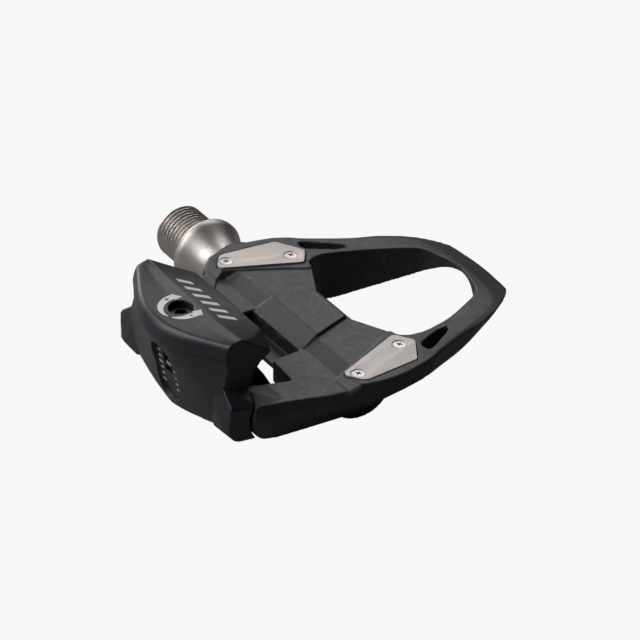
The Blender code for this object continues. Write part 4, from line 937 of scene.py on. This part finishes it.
# springs
for s, tag in ((1, "inboard"), (-1, "outboard")):
    cu = bpy.data.curves.new(tag + "_coil", "CURVE")
    cu.dimensions = "3D"
    cu.bevel_depth = WIRE_R * MM
    cu.bevel_resolution = 4
    cu.use_fill_caps = True
    y0, y1 = 1.7, 10.6
    a_start = -62.0
    sweep = 360.0 * (SPRING_TURNS - 1) + (180.0 + 32.0 - a_start)
    n = int(sweep / 360.0 * 48)
    coil = []
    for i in range(n + 1):
        f = i / n
        a = math.radians(a_start + sweep * f)
        coil.append((PIVOT_X + SPRING_R * math.cos(a), s * (y1 + (y0 - y1) * f), PIVOT_Z + SPRING_R * math.sin(a)))
    d0 = (math.sin(math.radians(a_start)), -math.cos(math.radians(a_start)))
    a_e = math.radians(a_start + sweep)
    d1 = (-math.sin(a_e), math.cos(a_e))
    path = [(coil[0][0] + 7.0 * d0[0], coil[0][1], coil[0][2] + 7.0 * d0[1])] + coil + [
        (coil[-1][0] + 6.0 * d1[0], coil[-1][1], coil[-1][2] + 6.0 * d1[1])]
    sp = cu.splines.new("POLY")
    sp.points.add(len(path) - 1)
    for p, c in zip(sp.points, path):
        p.co = (*(W(*c)), 1.0)
    tmp = bpy.data.objects.new(tag + "_coil_curve", cu)
    scene.collection.objects.link(tmp)
    bpy.context.view_layer.update()
    me = bpy.data.meshes.new_from_object(tmp.evaluated_get(bpy.context.evaluated_depsgraph_get()))
    bpy.data.objects.remove(tmp, do_unlink=True)
    bm = bmesh.new()
    bm.from_mesh(me)
    bmesh.ops.remove_doubles(bm, verts=bm.verts, dist=1e-6)
    bmesh.ops.recalc_face_normals(bm, faces=bm.faces)
    bm.to_mesh(me)
    bm.free()
    spring = add(tag + "_coil_spring", me)
    smooth(spring, 50)
    place(spring, "pedal", SPRING_MAT, (tag + "_torsion_spring",))

# hardware that keeps its CAD shape
for node, mat, slot, width in (("tension_bolt", DARK_STEEL_MAT, "bolt_black", 0.12), ("tension_plate", ZINC_MAT, "tension_metal", 0.15),
                              ("cone_lock_nut", ZINC_MAT, "bearing_steel", 0.15)):
    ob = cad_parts[node]
    ob.data.materials.clear()
    ob.data.materials.append(mat)
    edge_bevel(ob, width, 2, 30)

# ================================================================ floor, light and camera
bm = bmesh.new()
bmesh.ops.create_grid(bm, x_segments=2, y_segments=2, size=6.0)
floor = from_bm("studio_floor", bm)
floor.location = (0, 0, CAD_BOX[0].z - 0.0005)
n = Nodes("studio_floor")
lp = n.node("ShaderNodeLightPath")
geo = n.node("ShaderNodeNewGeometry")
emit = n.node("ShaderNodeEmission")
emit.inputs["Color"].default_value = (0.935, 0.935, 0.935, 1)
clear = n.node("ShaderNodeBsdfTransparent")
n.put(n.bsdf.inputs["Base Color"], n.mix(n.ramp(n.noise(40.0), 0.3, 0.7, 0.0, 1.0), (0.30, 0.30, 0.30), (0.32, 0.32, 0.32)))
n.put(n.bsdf.inputs["Roughness"], 0.9)
seen = n.node("ShaderNodeMixShader")
n.put(seen.inputs[0], lp.outputs["Is Camera Ray"])
n.put(seen.inputs[1], n.bsdf.outputs[0])
n.put(seen.inputs[2], emit.outputs[0])
back = n.node("ShaderNodeMixShader")
n.put(back.inputs[0], geo.outputs["Backfacing"])
n.put(back.inputs[1], seen.outputs[0])
n.put(back.inputs[2], clear.outputs[0])
n.put(n.t.nodes["Material Output"].inputs["Surface"], back.outputs[0])
floor.data.materials.append(n.mat)

world = bpy.data.worlds.new("studio")
scene.world = world
world.use_nodes = True
wt = world.node_tree
bg = wt.nodes["Background"]
bg.inputs["Color"].default_value = (0.95, 0.96, 1.0, 1)
bg.inputs["Strength"].default_value = 0.02
white = wt.nodes.new("ShaderNodeBackground")
white.inputs["Color"].default_value = (0.935, 0.935, 0.935, 1)
mixw = wt.nodes.new("ShaderNodeMixShader")
lpw = wt.nodes.new("ShaderNodeLightPath")
wt.links.new(lpw.outputs["Is Camera Ray"], mixw.inputs[0])
wt.links.new(bg.outputs[0], mixw.inputs[1])
wt.links.new(white.outputs[0], mixw.inputs[2])
wt.links.new(mixw.outputs[0], wt.nodes["World Output"].inputs["Surface"])

AIM = W(0.0, -5.0, 0.0)


def softbox(name, direction, distance, size, power, size_y=None, colour=(1, 1, 1)):
    li = bpy.data.lights.new(name, "AREA")
    li.shape = "RECTANGLE"
    li.size = size
    li.size_y = size_y or size
    li.energy = power
    li.color = colour
    ob = bpy.data.objects.new(name, li)
    scene.collection.objects.link(ob)
    d = Vector(direction).normalized()
    ob.location = AIM + d * distance
    ob.rotation_mode = "QUATERNION"
    ob.rotation_quaternion = d.to_track_quat("Z", "Y")
    return ob


softbox("back_sheen", (0.50, 0.50, 0.71), 0.60, 0.36, 0.62)
softbox("back_low", (0.0, 0.98, 0.21), 0.60, 0.36, 1.35)
softbox("left_key", (-0.68, 0.02, 0.73), 0.60, 0.36, 0.6)
softbox("left_low", (-0.78, 0.40, 0.48), 0.60, 0.30, 0.85)
softbox("flat_sheen", (0.42, 0.74, 0.52), 0.60, 0.20, 0.15)
softbox("back_left", (-0.52, 0.50, 0.69), 0.60, 0.32, 0.85)

cam_data = bpy.data.cameras.new("camera")
cam_data.lens = 196.62
cam_data.sensor_width = 36.0
cam_data.clip_start = 0.01
cam_data.clip_end = 100.0
cam = bpy.data.objects.new("camera", cam_data)
scene.collection.objects.link(cam)
eye, aim = Vector((-0.3843, -0.6738, 0.4529)), Vector((-0.0018, -0.05853, 0.0105))
cam.location = eye
cam.rotation_mode = "QUATERNION"
cam.rotation_quaternion = (eye - aim).to_track_quat("Z", "Y")
scene.camera = cam
scene.view_settings.view_transform = "Standard"
